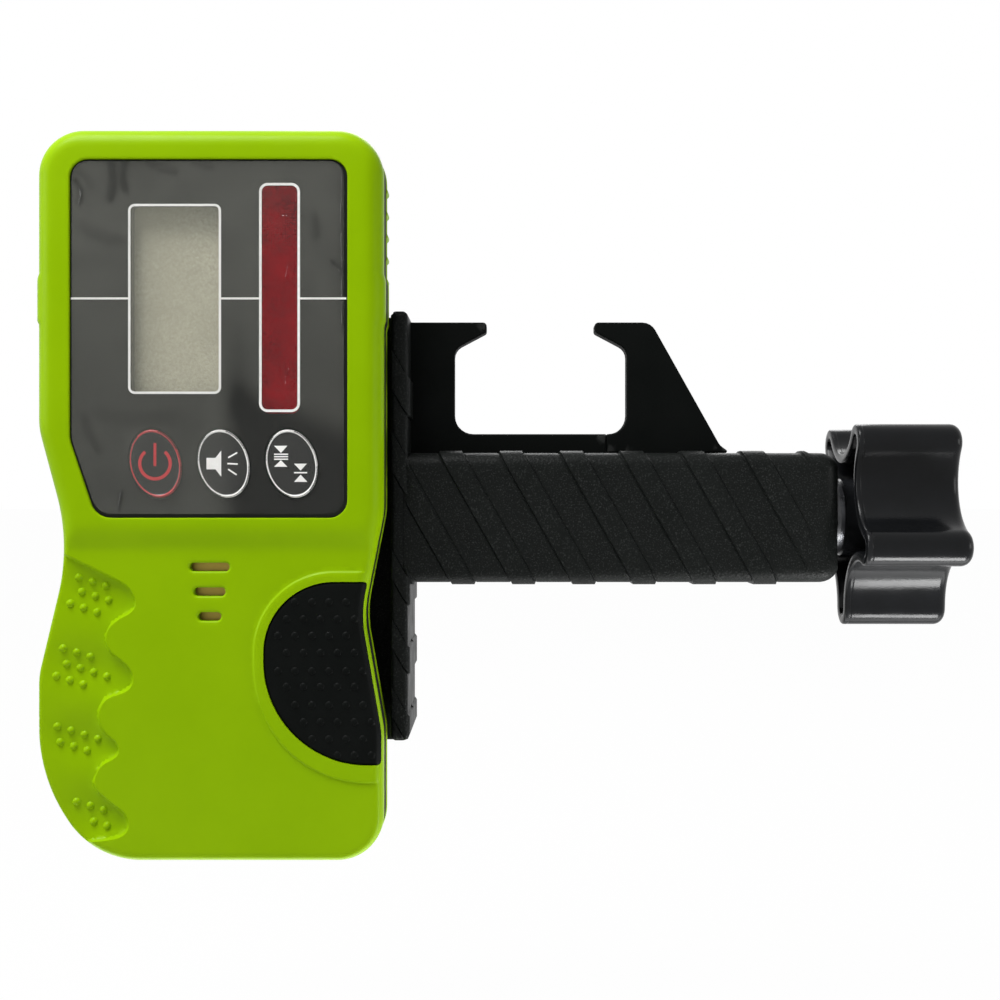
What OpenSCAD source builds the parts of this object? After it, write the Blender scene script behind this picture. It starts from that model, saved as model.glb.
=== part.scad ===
// Laser receiver with a rod clamp. A handheld detector in two green shells carries a display,
// a tall sensor window and three keys. A black bracket is screwed to its back, and a lead screw
// in the bracket's arm draws a sliding jaw towards a fixed one to grip a levelling rod.
// Lengths are in millimetres. While it is drawn, x runs to the right, y from the front rim to
// the back and z up from the base. placed() then moves the middle of the rod seat to the origin.

/* [Receiver body] */
// Width across the straight sides
body_w = 75.6; // [74:0.2:80]
// Height of the receiver
body_h = 160; // [158:0.5:168]
// Depth from the front rim to the flat back
body_d = 32; // [31.5:0.25:35]
// Depth of the front shell's side
front_d = 5.2; // [5:0.1:5.8]
// Depth of the black band between the shells
mid_d = 7; // [6.6:0.1:8]
// Side wall of both shells
wall = 2.2; // [1.8:0.1:2.6]
// Thickness of the flat back wall
back_wall = 2.4; // [2.2:0.1:2.8]
// Depth of the front wall's inner face
face_wall = 4; // [3.8:0.1:4.4]
// Radius of the front rim
rim_r = 4.5; // [3:0.25:4.75]
// Radius of the back edge
back_r = 5; // [3:0.25:6]
// Radius of the top corners and of the lower corner on the thumb side
corner_r = 10; // [8:0.5:12]
// How far the lower face lies behind the rim
face_step = 1.4; // [0.8:0.1:1.6]
// Height of the side marks at the reference line
side_mark_h = 0.4; // [0.2:0.1:0.6]
// Pitch of the small ribs along the rear shell's sides
rib_pitch = 5.05; // [4.5:0.05:5.5]

/* [Grip] */
// How far the waist is drawn in on the finger side
finger_waist_in = 6.8; // [5:0.2:8]
// Height of the finger side's waist, as a share of the lower face's height
finger_waist_at = 0.9215; // [0.88:0.0005:0.95]
// How far the waist is drawn in on the thumb side
thumb_waist_in = 4.4; // [3.6:0.2:5.6]
// Height of the thumb side's waist, as a share of the lower face's height
thumb_waist_at = 0.719; // [0.69:0.001:0.75]
// Pitch of the finger recesses
finger_pitch = 16.2; // [15:0.1:16.5]
// Depth of the finger recesses
finger_depth = 0.9; // [0.5:0.1:1]
// Width of the thumb pad
pad_w = 25.5; // [23:0.5:26]
// Height of the thumb pad, as a share of the lower face's height
pad_tall = 0.5326; // [0.51:0.0002:0.56]
// Height of the thumb pad's lower edge, as a share of the lower face's height
pad_low_at = 0.2823; // [0.26:0.0001:0.3]
// Thickness of the thumb pad
pad_t = 2.3; // [1.8:0.1:2.4]

/* [Panel] */
// Width of the panel
panel_w = 60.4; // [58:0.2:62]
// Height of the panel
panel_h = 78; // [76:0.5:79]
// Distance from the top of the receiver to the panel
panel_drop = 6.9; // [6:0.1:8]
// Depth of the panel's surface below the rim
panel_sink = 0.9; // [0.6:0.1:1.1]
// Thickness of the panel sheet
panel_t = 0.5; // [0.3:0.05:0.7]
// Distance from the panel's top to the reference line, as a share of the panel's height
ref_at = 0.3885; // [0.375:0.0005:0.4]
// Width of the display window
lcd_w = 19.5; // [18:0.5:21]
// Height of the display window, as a share of the panel's height
lcd_tall = 0.5256; // [0.49:0.0002:0.54]
// Distance from the centre line to the display window's middle, towards the fingers
lcd_off = 7.2; // [6:0.2:8.4]
// Width of the sensor window
sensor_w = 8.3; // [7:0.1:9]
// Height of the sensor window, as a share of the panel's height
sensor_tall = 0.641; // [0.6:0.001:0.655]
// Distance from the centre line to the sensor window's middle, towards the thumb
sensor_off = 15.6; // [14.8:0.2:16.2]
// Thickness of both windows
window_t = 1.5; // [1.2:0.1:1.8]

/* [Keys] */
// Long axis of an oval key
key_len = 15.3; // [14:0.1:15.9]
// Short axis of an oval key
key_wid = 11.2; // [10:0.1:11.6]
// Pitch of the keys
key_pitch = 14.8; // [14.2:0.1:15.4]
// Lean of the keys' long axis
key_lean = 14.75; // [0:0.25:20]
// How far the keys stand above the panel
key_proud = 0.55; // [0.3:0.05:0.8]
// Travel of the keys
key_travel = 0.6; // [0.4:0.1:0.8]

/* [Sound] */
// Width of the top sound slot
slot_w = 8.7; // [7:0.1:10]
// Height of a sound slot
slot_h = 1.85; // [1.4:0.05:2.2]
// Pitch of the sound slots
slot_pitch = 5.4; // [4.8:0.1:5.8]
// Share of the top slot's width by which each lower one is narrower
slot_narrow = 0.21; // [0.1:0.01:0.24]
// Distance from the panel down to the middle sound slot
slot_drop = 16.1; // [15.1:0.1:17.5]
// Radius of the buzzer plate
buzzer_r = 11; // [10.5:0.25:11.5]

/* [Battery bay] */
// Radius of a cell
cell_r = 7.25; // [7:0.05:7.3]
// Length of a cell
cell_len = 50.5; // [49.5:0.25:50.75]
// Distance from the centre line to the bay's middle, towards the fingers
bay_off = 4; // [3.5:0.1:4.4]
// Height of the bay's lower inner wall
bay_z = 13; // [12.8:0.1:14]
// Thickness of the battery door
door_t = 1.3; // [1.1:0.05:1.4]
// Radius of the door's hinge pin
pin_r = 0.8; // [0.6:0.05:0.9]

/* [Bracket] */
// Gap between the receiver's side and the bracket's tee bar
tee_gap = 0.8; // [0.5:0.1:1.5]
// Thickness of the tee bar
tee_t = 3.9; // [3.4:0.1:4.4]
// Height of the tee bar
tee_h = 96.9; // [92:0.5:99]
// Distance from the reference line down to the arm's axis
arm_drop = 47.8; // [47:0.2:48.6]
// Length of the arm
arm_len = 97.9; // [97.5:0.1:104]
// Height of the arm
arm_h = 29.4; // [29:0.1:32]
// Depth of the bracket
arm_d = 28; // [26:0.5:30]
// Distance from the receiver's front rim to the bracket's front face
arm_y = 12; // [10:0.5:13]
// Radius of the arm's long edges
arm_r = 3.5; // [2:0.25:4.5]
// Radius of the arm's outer end
arm_end_r = 6; // [4:0.5:7]
// Height of the raised bands
band_h = 0.5; // [0.3:0.1:0.8]
// Width of a band, along the arm
band_w = 5.5; // [4:0.25:7]
// Pitch of the bands
band_pitch = 13.7; // [12.5:0.1:14.2]
// Lean of the bands
band_lean = 29.5; // [20:0.5:35]
// Thickness of the flange behind the receiver
flange_t = 4.4; // [3.6:0.1:5]

/* [Jaws] */
// Thickness of the jaw plates
plate_t = 5; // [4:0.25:5.5]
// Distance between the jaws' walls when closed
jaw_gap = 40.2; // [39:0.2:41]
// Depth from the lips' top to the rod seat
jaw_depth = 26.1; // [24:0.25:28]
// Distance from the tee bar to the fixed jaw's wall
jaw_inset = 10.2; // [9:0.2:10.6]
// How far a lip reaches over the opening
lip_reach = 7.5; // [5:0.25:9]
// Height of the rod seat above the arm
seat_rise = 4.7; // [4:0.1:6]
// Radius of the opening's lower corners
seat_r = 4.4; // [3:0.2:5]
// Travel of the sliding jaw
jaw_travel = 22; // [16:0.5:22]

/* [Lead screw and knob] */
// Radius of the lead screw
screw_r = 4; // [3.5:0.1:4.2]
// Pitch of the lead screw's thread
screw_pitch = 2; // [1:0.25:3]
// Radius of the knob over its lobes
knob_r = 25.2; // [24:0.2:27]
// Radius of the knob in the hollows between its lobes
knob_hollow_r = 14.9; // [14.6:0.1:16]
// Radius of a lobe's tip
lobe_r = 4.2; // [3.6:0.1:4.8]
// Length of the knob
knob_len = 23.8; // [22:0.2:28]
// Wall of the knob's cup
knob_wall = 2.4; // [1.8:0.1:2.8]

/* [Mounting screw] */
// Radius of the mounting screw
mount_r = 2.95; // [2.5:0.05:3.2]
// Radius of the mounting screw's head
mount_head_r = 9; // [7.5:0.25:10]
// Distance from the reference line down to the mounting screw
mount_drop = 17.8; // [17:0.2:19]

/* [Fits] */
// Radial clearance of running fits
run_fit = 0.06; // [0.03:0.01:0.1]
// Clearance beside sliding parts
slide_fit = 0.3; // [0.25:0.05:0.4]
// Clearance around pieces that are fixed
set_fit = 0.1; // [0.05:0.01:0.15]

/* [Hidden] */
$fn = 64;

green = "#86b000";
black = "#1b1c1b";
half_w = body_w / 2;
past = 1;
// Most that an outline turns between two of its points
facet_turn = 14;

// Heights that follow from the panel; grip_scale is 1 where the lower face is 75 mm tall
panel_low_z = body_h - panel_drop - panel_h;
grip_scale = panel_low_z / 75;
ref_z = panel_low_z + panel_h * (1 - ref_at);
lcd_h = panel_h * lcd_tall;
sensor_h = panel_h * sensor_tall;
slot_z = panel_low_z - slot_drop;
finger_waist_z = panel_low_z * finger_waist_at;
thumb_waist_z = panel_low_z * thumb_waist_at;
finger_step = finger_pitch * grip_scale;
pad_h = panel_low_z * pad_tall;
pad_z = panel_low_z * pad_low_at;

// Outline of the receiver: corners as [x, z, radius], anticlockwise from the lower right
body_corners = [
    [half_w, 0, corner_r],
    [half_w, thumb_waist_z - 25.4 * grip_scale, 14 * grip_scale],
    [half_w - thumb_waist_in, thumb_waist_z, 25 * grip_scale],
    [half_w, thumb_waist_z + 22.4 * grip_scale, 16 * grip_scale],
    [half_w, body_h, corner_r],
    [-half_w, body_h, corner_r],
    [-half_w, finger_waist_z + 25.4 * grip_scale, 16 * grip_scale],
    [-half_w + finger_waist_in, finger_waist_z, 44 * grip_scale],
    [-half_w, finger_waist_z - 28.6 * grip_scale, 18 * grip_scale],
    [-half_w, 18.8 * grip_scale, 36.5 * grip_scale],
    [-half_w + 11.9 * grip_scale, 0, 19.5 * grip_scale]
];
side_draft = 0.2;
back_draft = 1.6;
seam_front = front_d;
seam_back = front_d + mid_d;
rear_rim = 1.2;
rib_r = 0.9;
rib_proud = 0.2;
rear_inner = body_d - back_wall;
rear_step_y = seam_back + 8;
step_low_z = panel_low_z - 6.6;
step_high_z = panel_low_z - 1.6;

// Panel and windows
panel_corners = [
    [panel_w / 2, panel_low_z, 4],
    [panel_w / 2, panel_low_z + panel_h, 4],
    [-panel_w / 2, panel_low_z + panel_h, 4],
    [-panel_w / 2, panel_low_z + 17, 8],
    [-panel_w / 2 + 5.7, panel_low_z, 4.5]
];
panel_floor = panel_sink + panel_t;
window_back = panel_sink + window_t;
window_rest = 1.2;
lcd_corner_r = 1.8;
sensor_corner_r = 1.7;

// Keys
key_z = panel_low_z + panel_h * 0.151;
key_mid_x = 3.25;
key_flange = 0.9;
key_flange_t = 1;
key_xs = [for (i = [-1:1]) key_mid_x + i * key_pitch];

// Boards, display and buzzer, from front to back
board_t = 1.6;
board_y = face_wall + 6;
board_back = board_y + board_t;
board_half = 27;
board_low_z = slot_z - buzzer_r;
board_high_z = body_h - 13;
lcd_glass_t = 2.8;
lcd_margin = 2.6;
lcd_glass_y = face_wall + 0.15;
sensor_board_y = face_wall + 3;
sensor_board_t = 1.2;
switch_h = 3;
buzzer_rest = 1;
buzzer_t = 0.3;
ceramic_t = 0.3;
buzzer_y = face_wall + buzzer_rest;
standoff_r = 2.4;
standoff_x = board_half - 2.8;
standoffs = [for (z = [board_high_z - 3, step_high_z - 0.5], s = [-1, 1]) [s * standoff_x, z]];
board_screw_r = 1;

// Case screws, driven from the back
low_boss = max(1, grip_scale);
case_bosses = [
    [8.3 - half_w, body_h - 8.5],
    [half_w - 8.3, body_h - 8.5],
    [half_w - 9.3, 9.5],
    [18.3 * low_boss - half_w, 6 * low_boss]
];
case_boss_r = 3;
case_screw_r = 1.1;
case_head_r = 2.3;
case_head_t = 1.6;
case_sink = 3;
case_tip_y = face_wall + 2.5;

// Thumb pad: a flat right side and two arcs on the left
pad_x = half_w - 0.5 - pad_w;
pad_top_y = face_step - 0.3;
pad_floor = pad_top_y + pad_t;
pad_edge = 0.5;
pad_backing = 1.6;

// Battery bay and its door
bay_gap = 0.35;
cell_pitch = 2 * cell_r + 0.7;
bay_x0 = -bay_off - cell_pitch / 2 - cell_r - 0.9;
bay_x1 = -bay_off + cell_pitch / 2 + cell_r + 0.9;
cell_y = rear_inner - 1.05 - cell_r;
bay_floor = cell_y - cell_r - bay_gap;
bay_wall = 1.3;
contact_t = 0.5;
contact_spring = 1.7;
cell_z0 = bay_z + contact_t + contact_spring;
cell_z1 = cell_z0 + cell_len;
bay_z1 = cell_z1 + contact_spring / 2 + contact_t;
nub_h = 1;
door_lap = 4.5;
door_x0 = bay_x0 - door_lap;
door_x1 = bay_x1 + door_lap;
door_z0 = bay_z - 2.5;
hinge_r = 1.6;
hinge_y = body_d - hinge_r;
hinge_z = bay_z1 + 3;
pin_reach = 2.5;
ear = [pin_reach + 1, 2.6, 2 * hinge_r + 2];
rebate_y = body_d - door_t - set_fit;

// Mounting screw, insert and locating pins
mount_z = ref_z - mount_drop;
insert_r = mount_r + 1.6;
insert_len = 11;
mount_boss_r = insert_r + 1.8;
locator_r = 2;
locator_off = 10;
locator_len = 2;
flange_y = body_d + slide_fit;
flange_back = flange_y + flange_t;
mount_washer_t = 0.8;
mount_head_y = flange_back + mount_washer_t + 0.2;
mount_head_t = 9;
mount_tip = body_d - insert_len + 2;

// Bracket: a tee bar beside the receiver, the arm, and an L shaped flange behind the receiver
mid_y = arm_y + arm_d / 2;
arm_back = arm_y + arm_d;
arm_z = ref_z - arm_drop;
arm_top = arm_z + arm_h / 2;
arm_low = arm_z - arm_h / 2;
tee_x0 = half_w + tee_gap;
tee_x1 = tee_x0 + tee_t;
tee_high_z = ref_z - 1.2;
tee_low_z = tee_high_z - tee_h;
arm_x1 = tee_x1 + arm_len;
flange_low_z = tee_low_z - 3.2;
flange_strip_x = half_w - 14;
flange_tongue_x = -14;
flange_tongue_z = mount_z - 15;
flange_corners = [
    [tee_x0 + tee_t / 2, flange_low_z, 1],
    [tee_x0 + tee_t / 2, ref_z, 1],
    [flange_tongue_x, ref_z, 8],
    [flange_tongue_x, flange_tongue_z, 8],
    [flange_strip_x, flange_tongue_z, 6],
    [flange_strip_x, flange_low_z, 5]
];

// Jaws
seat_z = arm_top + seat_rise;
lip_z = seat_z + jaw_depth;
lip_t = 2.3;
lip_rise = lip_reach * tan(28);
jaw_x0 = tee_x1 + jaw_inset;
jaw_x1 = jaw_x0 + jaw_gap;
plate_x0 = tee_x1 - 1.5;
split_gap = slide_fit;
split_x = jaw_x1 - seat_r - 0.6;
fixed_foot_z = arm_z + screw_r + 1.7;
jaw_low_z = arm_top + band_h + slide_fit;
slope = tan(29.3);
jaw_crest = 5.7;
toe_t = 1.6;
toe_x = jaw_x1 + 25.4;
jaw_foot_x0 = jaw_x1 - 0.1;
jaw_foot_x1 = jaw_foot_x0 + 16;
jaw_foot_z = arm_z + screw_r + 1;
slope_foot_x = jaw_x1 + jaw_crest + (lip_z - jaw_low_z - toe_t) * slope;

// Nut, screw and knob
nut_x0 = jaw_foot_x0 + 2;
nut_x1 = jaw_foot_x1 - 2;
nut_w = 15;
nut_low_z = arm_z - 8;
nut_high_z = arm_z + 11;
nut_slot_z = jaw_foot_z - 0.2;
rivet_r = 1.2;
rivet_z = (jaw_foot_z + nut_high_z) / 2;
rivet_xs = [nut_x0 + 4, nut_x1 - 4];
bush_r = screw_r + 2;
bush_flange_r = screw_r + 4.5;
bush_flange_t = 1.2;
bush_x0 = arm_x1 - 7;
ring_t = 1;
ring_r = screw_r + 2.5;
ring_x = bush_x0 - ring_t - 0.15;
washer_t = 0.8;
washer_r = screw_r + 4.3;
washer_x = arm_x1 + bush_flange_t + 0.1;
hub_x = washer_x + washer_t + 0.05;
hub_r = screw_r + 5;
knob_x0 = arm_x1 + 3.1;
knob_x1 = knob_x0 + knob_len;
knob_end = 3;
drive_r = screw_r + 2;
drive_x0 = knob_x0 + 6;
drive_x1 = knob_x1 - knob_end - 2;
screw_x0 = jaw_x0 + 9;
lobes = 5;
lobe_ring = knob_r - lobe_r;
hollow_step = knob_hollow_r - lobe_r;
hollow_ring = (lobe_ring * lobe_ring - hollow_step * hollow_step)
    / (2 * (lobe_ring * cos(180 / lobes) - hollow_step));
hollow_cut_r = hollow_ring - knob_hollow_r;

// Bracket screws, as [x, z]: two go through the fixed jaw's foot
bracket_screw_r = 1.45;
bracket_head_r = 2.8;
bracket_head_t = 2.2;
bracket_screw_tip = arm_y + 5;
bracket_screw_at = [
    [plate_x0 + 9, fixed_foot_z + 3.2],
    [split_x - 8, fixed_foot_z + 3.2],
    [tee_x1 + 9, arm_low + 4],
    [arm_x1 - 19, arm_low + 3.6]
];

datum = [(jaw_x0 + jaw_x1) / 2, mid_y, seat_z];

function unit(v) = v / norm(v);
function left_of(d) = [-d[1], d[0]];
function turned(v, a) = [v[0] * cos(a) - v[1] * sin(a), v[0] * sin(a) + v[1] * cos(a)];

// Points of one rounded corner between two neighbours, drawn in by inset
function corner_points(before, at, after, r, inset) =
    let (
        d1 = unit(at - before),
        d2 = unit(after - at),
        n1 = left_of(d1),
        n2 = left_of(d2),
        bend = atan2(d1[0] * d2[1] - d1[1] * d2[0], d1 * d2),
        side = bend < 0 ? -1 : 1,
        tip = at + inset * (n1 + n2) / (1 + n1 * n2),
        round_r = max(r - side * inset, 0.05),
        start = tip - d1 * round_r * tan(abs(bend) / 2),
        centre = start + n1 * side * round_r,
        steps = ceil(abs(bend) / facet_turn)
    )
    [for (k = [0:steps]) centre + turned(start - centre, bend * k / steps)];

// Closed outline with rounded corners, anticlockwise, drawn in by inset
function outline(corners, inset = 0) =
    let (n = len(corners), at = [for (c = corners) [c[0], c[1]]])
    [for (i = [0:n - 1])
        each corner_points(at[(i + n - 1) % n], at[i], at[(i + 1) % n], corners[i][2], inset)];

function box_corners(x0, x1, z0, z1, r) = [[x1, z0, r], [x1, z1, r], [x0, z1, r], [x0, z0, r]];
function oval(a, b, steps = 48) =
    [for (k = [0:steps - 1]) [a * cos(360 * k / steps), b * sin(360 * k / steps)]];

module placed() {
    translate(-datum) children();
}

// A flat shape in x and z, from y0 back to y1
module slab(y0, y1) {
    translate([0, y1, 0]) rotate([90, 0, 0]) linear_extrude(y1 - y0) children();
}

// A flat shape in y and z, from x0 across to x1
module beam(x0, x1) {
    translate([x0, 0, 0]) rotate([90, 0, 90]) linear_extrude(x1 - x0) children();
}

module block(x0, x1, y0, y1, z0, z1) {
    translate([x0, y0, z0]) cube([x1 - x0, y1 - y0, z1 - z0]);
}

module rod_y(x, z, r, y0, y1) {
    translate([x, y0, z]) rotate([-90, 0, 0]) cylinder(r = r, h = y1 - y0);
}

module rod_x(y, z, r, x0, x1) {
    translate([x0, y, z]) rotate([0, 90, 0]) cylinder(r = r, h = x1 - x0);
}

// Solid through a row of [depth, inset] rings of the receiver's outline, run on past both ends
module body_loft(inner_rings) {
    first = inner_rings[0];
    end = inner_rings[len(inner_rings) - 1];
    rings = concat([[first[0] - past, first[1]]], inner_rings, [[end[0] + past, end[1]]]);
    n = len(outline(body_corners));
    points = [for (ring = rings) each [for (p = outline(body_corners, ring[1])) [p[0], ring[0], p[1]]]];
    last = (len(rings) - 1) * n;
    polyhedron(
        points,
        concat(
            [[for (i = [n - 1:-1:0]) i]],
            [[for (i = [0:n - 1]) last + i]],
            [for (k = [0:len(rings) - 2], i = [0:n - 1])
                [k * n + i, k * n + (i + 1) % n, (k + 1) * n + (i + 1) % n]],
            [for (k = [0:len(rings) - 2], i = [0:n - 1])
                [k * n + i, (k + 1) * n + (i + 1) % n, (k + 1) * n + i]]
        )
    );
}

// A slab wider and taller than the receiver
module full_slab(y0, y1) {
    block(-body_w, body_w, y0, y1, -body_w, body_h + body_w);
}

module body_slab(y0, y1, inset) {
    slab(y0, y1) polygon(outline(body_corners, inset));
}

// Low raised marks on both sides, level with the reference line
module side_marks(y0, y1) {
    for (side = [-1, 1])
        slab(y0, y1) polygon([
            [side * (half_w - wall / 2), ref_z - 5.6], [side * (half_w + side_mark_h), ref_z - 4.6],
            [side * (half_w + side_mark_h), ref_z + 4.6], [side * (half_w - wall / 2), ref_z + 5.6]
        ]);
}

// Small upright ribs on both sides of the rear shell, above the reference line
module side_ribs() {
    for (side = [-1, 1], i = [1:5])
        rod_y(side * (half_w + rib_proud - rib_r), ref_z + 0.5 + i * rib_pitch, rib_r, seam_back - past / 2,
            seam_back + 5);
}

module window_shape(mid_x, w, h, r, inset = 0) {
    polygon(outline(box_corners(mid_x - w / 2, mid_x + w / 2, ref_z - h / 2, ref_z + h / 2, r), inset));
}

module lcd_shape(inset = 0) {
    window_shape(-lcd_off, lcd_w, lcd_h, lcd_corner_r, inset);
}

module sensor_shape(inset = 0) {
    window_shape(sensor_off, sensor_w, sensor_h, sensor_corner_r, inset);
}

module key_shape(x, grow = 0) {
    translate([x, key_z]) rotate(key_lean) polygon(oval(key_wid / 2 + grow, key_len / 2 + grow));
}

// Thumb pad's outline, its right side run out past the receiver by beyond
module pad_shape(grow = 0, beyond = 0) {
    polygon(outline([
        [half_w + beyond, pad_z, 1],
        [half_w + beyond, pad_z + pad_h, 1],
        [pad_x, pad_z + pad_h, min(pad_h * 0.385, pad_w * 0.62)],
        [pad_x, pad_z, min(pad_h * 0.565, pad_w * 0.9)]
    ], -grow));
}

// One finger recess, open to the left, with its rounded tip at x, z
module finger_shape(x, z) {
    finger_h = finger_step * 0.8;
    translate([x, z]) rotate(-14)
        polygon(outline(box_corners(-half_w, 0, -finger_h / 2, finger_h / 2, finger_h / 2 - 0.6)));
}

module finger_recesses() {
    tips = [22.2, 21, 18, 20.4];
    for (i = [0:3])
        slab(-past, face_step + finger_depth)
            finger_shape(tips[i] - half_w, thumb_waist_z + 3.3 - i * finger_step);
}

module front_shell() {
    rim = [for (k = [5:-1:0])
        [rim_r - rim_r * sin(18 * k), side_draft + rim_r - rim_r * cos(18 * k)]];
    color(green) placed() difference() {
        union() {
            difference() {
                union() {
                    body_loft(concat(rim, [[seam_front, side_draft]]));
                    side_marks(rim_r * 0.6, seam_front + past / 2);
                }
                full_slab(-2 * past, 0);
                full_slab(seam_front, seam_front + 2 * past);
                body_slab(face_wall, seam_front + past, wall);
            }
            for (b = case_bosses) rod_y(b[0], b[1], case_boss_r, face_wall - 0.5, seam_back - 0.1);
            for (s = standoffs) rod_y(s[0], s[1], standoff_r, face_wall - 0.5, board_y);
            rod_y(0, slot_z, buzzer_r + 1.4, face_wall - 0.5, buzzer_y + buzzer_t + ceramic_t);
            intersection() {
                slab(face_wall - 0.5, pad_floor + pad_backing) pad_shape(1.5);
                body_slab(face_wall - past, seam_back, wall / 2);
            }
        }
        beam(-half_w - past, half_w + past) polygon([
            [-past, -past],
            [face_step, -past],
            [face_step, step_low_z],
            [0, step_high_z],
            [-past, step_high_z]
        ]);
        slab(-past, panel_floor) polygon(outline(panel_corners));
        slab(-past, window_back) lcd_shape(-set_fit);
        slab(-past, face_wall + past) lcd_shape(window_rest);
        slab(-past, window_back) sensor_shape(-set_fit);
        slab(-past, face_wall + past) sensor_shape(window_rest);
        for (x = key_xs) slab(-past, face_wall + past) key_shape(x, slide_fit);
        for (i = [-1:1]) {
            reach = slot_w / 2 * (1 - slot_narrow * (1 - i));
            low = slot_z + i * slot_pitch - slot_h / 2;
            slab(-past, face_wall + past)
                polygon(outline(box_corners(-reach, reach, low, low + slot_h, slot_h * 0.49)));
        }
        rod_y(0, slot_z, buzzer_r - 1.5, face_wall, face_wall + past + buzzer_rest);
        rod_y(0, slot_z, buzzer_r + set_fit, buzzer_y, board_y);
        slab(-past, pad_floor) pad_shape(set_fit, 5);
        finger_recesses();
        for (b = case_bosses)
            rod_y(b[0], b[1], case_screw_r + set_fit / 2, case_tip_y - 0.5, seam_back + past);
        for (s = standoffs) rod_y(s[0], s[1], board_screw_r + set_fit / 2, face_wall + 1, board_y + past);
    }
}

module rear_shell() {
    edge = [for (k = [0:5])
        [body_d - back_r + back_r * sin(18 * k), back_draft + back_r - back_r * cos(18 * k)]];
    color(green) placed() difference() {
        union() {
            difference() {
                union() {
                    body_loft(concat([[seam_back, 0], [seam_back + rear_rim, 0]], edge));
                    side_marks(seam_back - past / 2, seam_back + 3);
                    side_ribs();
                }
                full_slab(seam_back - 2 * past, seam_back);
                full_slab(body_d, body_d + 2 * past);
                body_slab(seam_back - past, rear_step_y, wall);
                body_slab(rear_step_y - past, rear_inner, wall + back_draft + 0.6);
            }
            for (b = case_bosses) rod_y(b[0], b[1], case_boss_r, seam_back, rear_inner + 0.5);
            rod_y(0, mount_z, mount_boss_r, body_d - insert_len - 1, rear_inner + 0.5);
            for (s = [-1, 1])
                rod_y(s * locator_off, mount_z, locator_r + 1.5, rear_inner - 1.5, rear_inner + 0.5);
            block(bay_x0 - bay_wall, bay_x1 + bay_wall, bay_floor - bay_wall, rear_inner + 0.5,
                bay_z - bay_wall, bay_z1 + bay_wall);
            block(door_x0 - ear[0], door_x1 + ear[0], hinge_y - ear[1], rear_inner + 0.5,
                hinge_z - ear[2] / 2, hinge_z + ear[2] / 2);
        }
        block(bay_x0, bay_x1, bay_floor, body_d + past, bay_z, bay_z1);
        for (s = [-1, 1])
            block(-bay_off + s * cell_pitch / 2 - 1.2, -bay_off + s * cell_pitch / 2 + 1.2,
                bay_floor - bay_wall - past, bay_floor + past, bay_z1 - contact_t - 0.1, bay_z1);
        block(door_x0 - slide_fit, door_x1 + slide_fit, rebate_y, body_d + past,
            door_z0 - slide_fit, hinge_z + hinge_r + slide_fit);
        block(door_x0 - slide_fit, door_x1 + slide_fit, hinge_y, body_d + past,
            hinge_z - hinge_r - slide_fit, hinge_z + hinge_r + slide_fit);
        rod_x(hinge_y, hinge_z, hinge_r + slide_fit, door_x0 - slide_fit, door_x1 + slide_fit);
        rod_x(hinge_y, hinge_z, pin_r + run_fit, door_x0 - pin_reach - 0.2, door_x1 + pin_reach + 0.2);
        block(-bay_off - 6, -bay_off + 6, rebate_y, body_d + past, door_z0 - 2.5, door_z0);
        rod_y(0, mount_z, insert_r + set_fit / 2, body_d - insert_len, body_d + past);
        for (s = [-1, 1])
            rod_y(s * locator_off, mount_z, locator_r + set_fit, body_d - locator_len - 0.3, body_d + past);
        for (b = case_bosses) {
            rod_y(b[0], b[1], case_screw_r + 0.3, seam_back - past, body_d + past);
            rod_y(b[0], b[1], case_head_r + 0.3, body_d - case_sink, body_d + past);
        }
    }
}

module case_band() {
    color("#20211f") placed() difference() {
        union() {
            body_slab(seam_front, seam_back, 0.05);
            side_marks(seam_front, seam_back);
        }
        body_slab(seam_front - past, seam_back + past, wall);
    }
}

module panel_overlay() {
    color("#3c3d3a") placed() difference() {
        slab(panel_sink, panel_floor) polygon(outline(panel_corners, set_fit));
        slab(panel_sink - past, panel_floor + past) lcd_shape(-set_fit);
        slab(panel_sink - past, panel_floor + past) sensor_shape(-set_fit);
        for (x = key_xs) slab(panel_sink - past, panel_floor + past) key_shape(x, slide_fit);
    }
}

module lcd_window() {
    color("#c9ccba", 0.5) placed() slab(panel_sink + 0.05, window_back) lcd_shape();
}

module lcd_glass() {
    color("#a6a28d") placed() slab(lcd_glass_y, lcd_glass_y + lcd_glass_t) lcd_shape(-lcd_margin);
}

module lcd_holder() {
    color("#d8d8d2") placed() difference() {
        slab(lcd_glass_y + lcd_glass_t, board_y) lcd_shape(-lcd_margin - 0.6);
        slab(lcd_glass_y, board_y + past) lcd_shape(1);
    }
}

module sensor_window() {
    color("#79302b") placed() slab(panel_sink + 0.05, window_back) sensor_shape();
}

module sensor_board() {
    color("#2c5a36") placed() slab(sensor_board_y, sensor_board_y + sensor_board_t) sensor_shape(-1.6);
}

module photodiodes() {
    count = 8;
    pitch = (sensor_h - 3) / count;
    color("#1d1b1f") placed() for (i = [0:count - 1])
        block(sensor_off - 2.4, sensor_off + 2.4, sensor_board_y - 1.9, sensor_board_y,
            ref_z + (i - count / 2) * pitch + 0.4, ref_z + (i - count / 2 + 1) * pitch - 0.4);
}

module sensor_header() {
    color("#242424") placed() for (s = [-1, 1])
        block(sensor_off - 2.5, sensor_off + 2.5, sensor_board_y + sensor_board_t, board_y,
            ref_z + s * sensor_h * 0.36 - 2, ref_z + s * sensor_h * 0.36 + 2);
}

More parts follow.
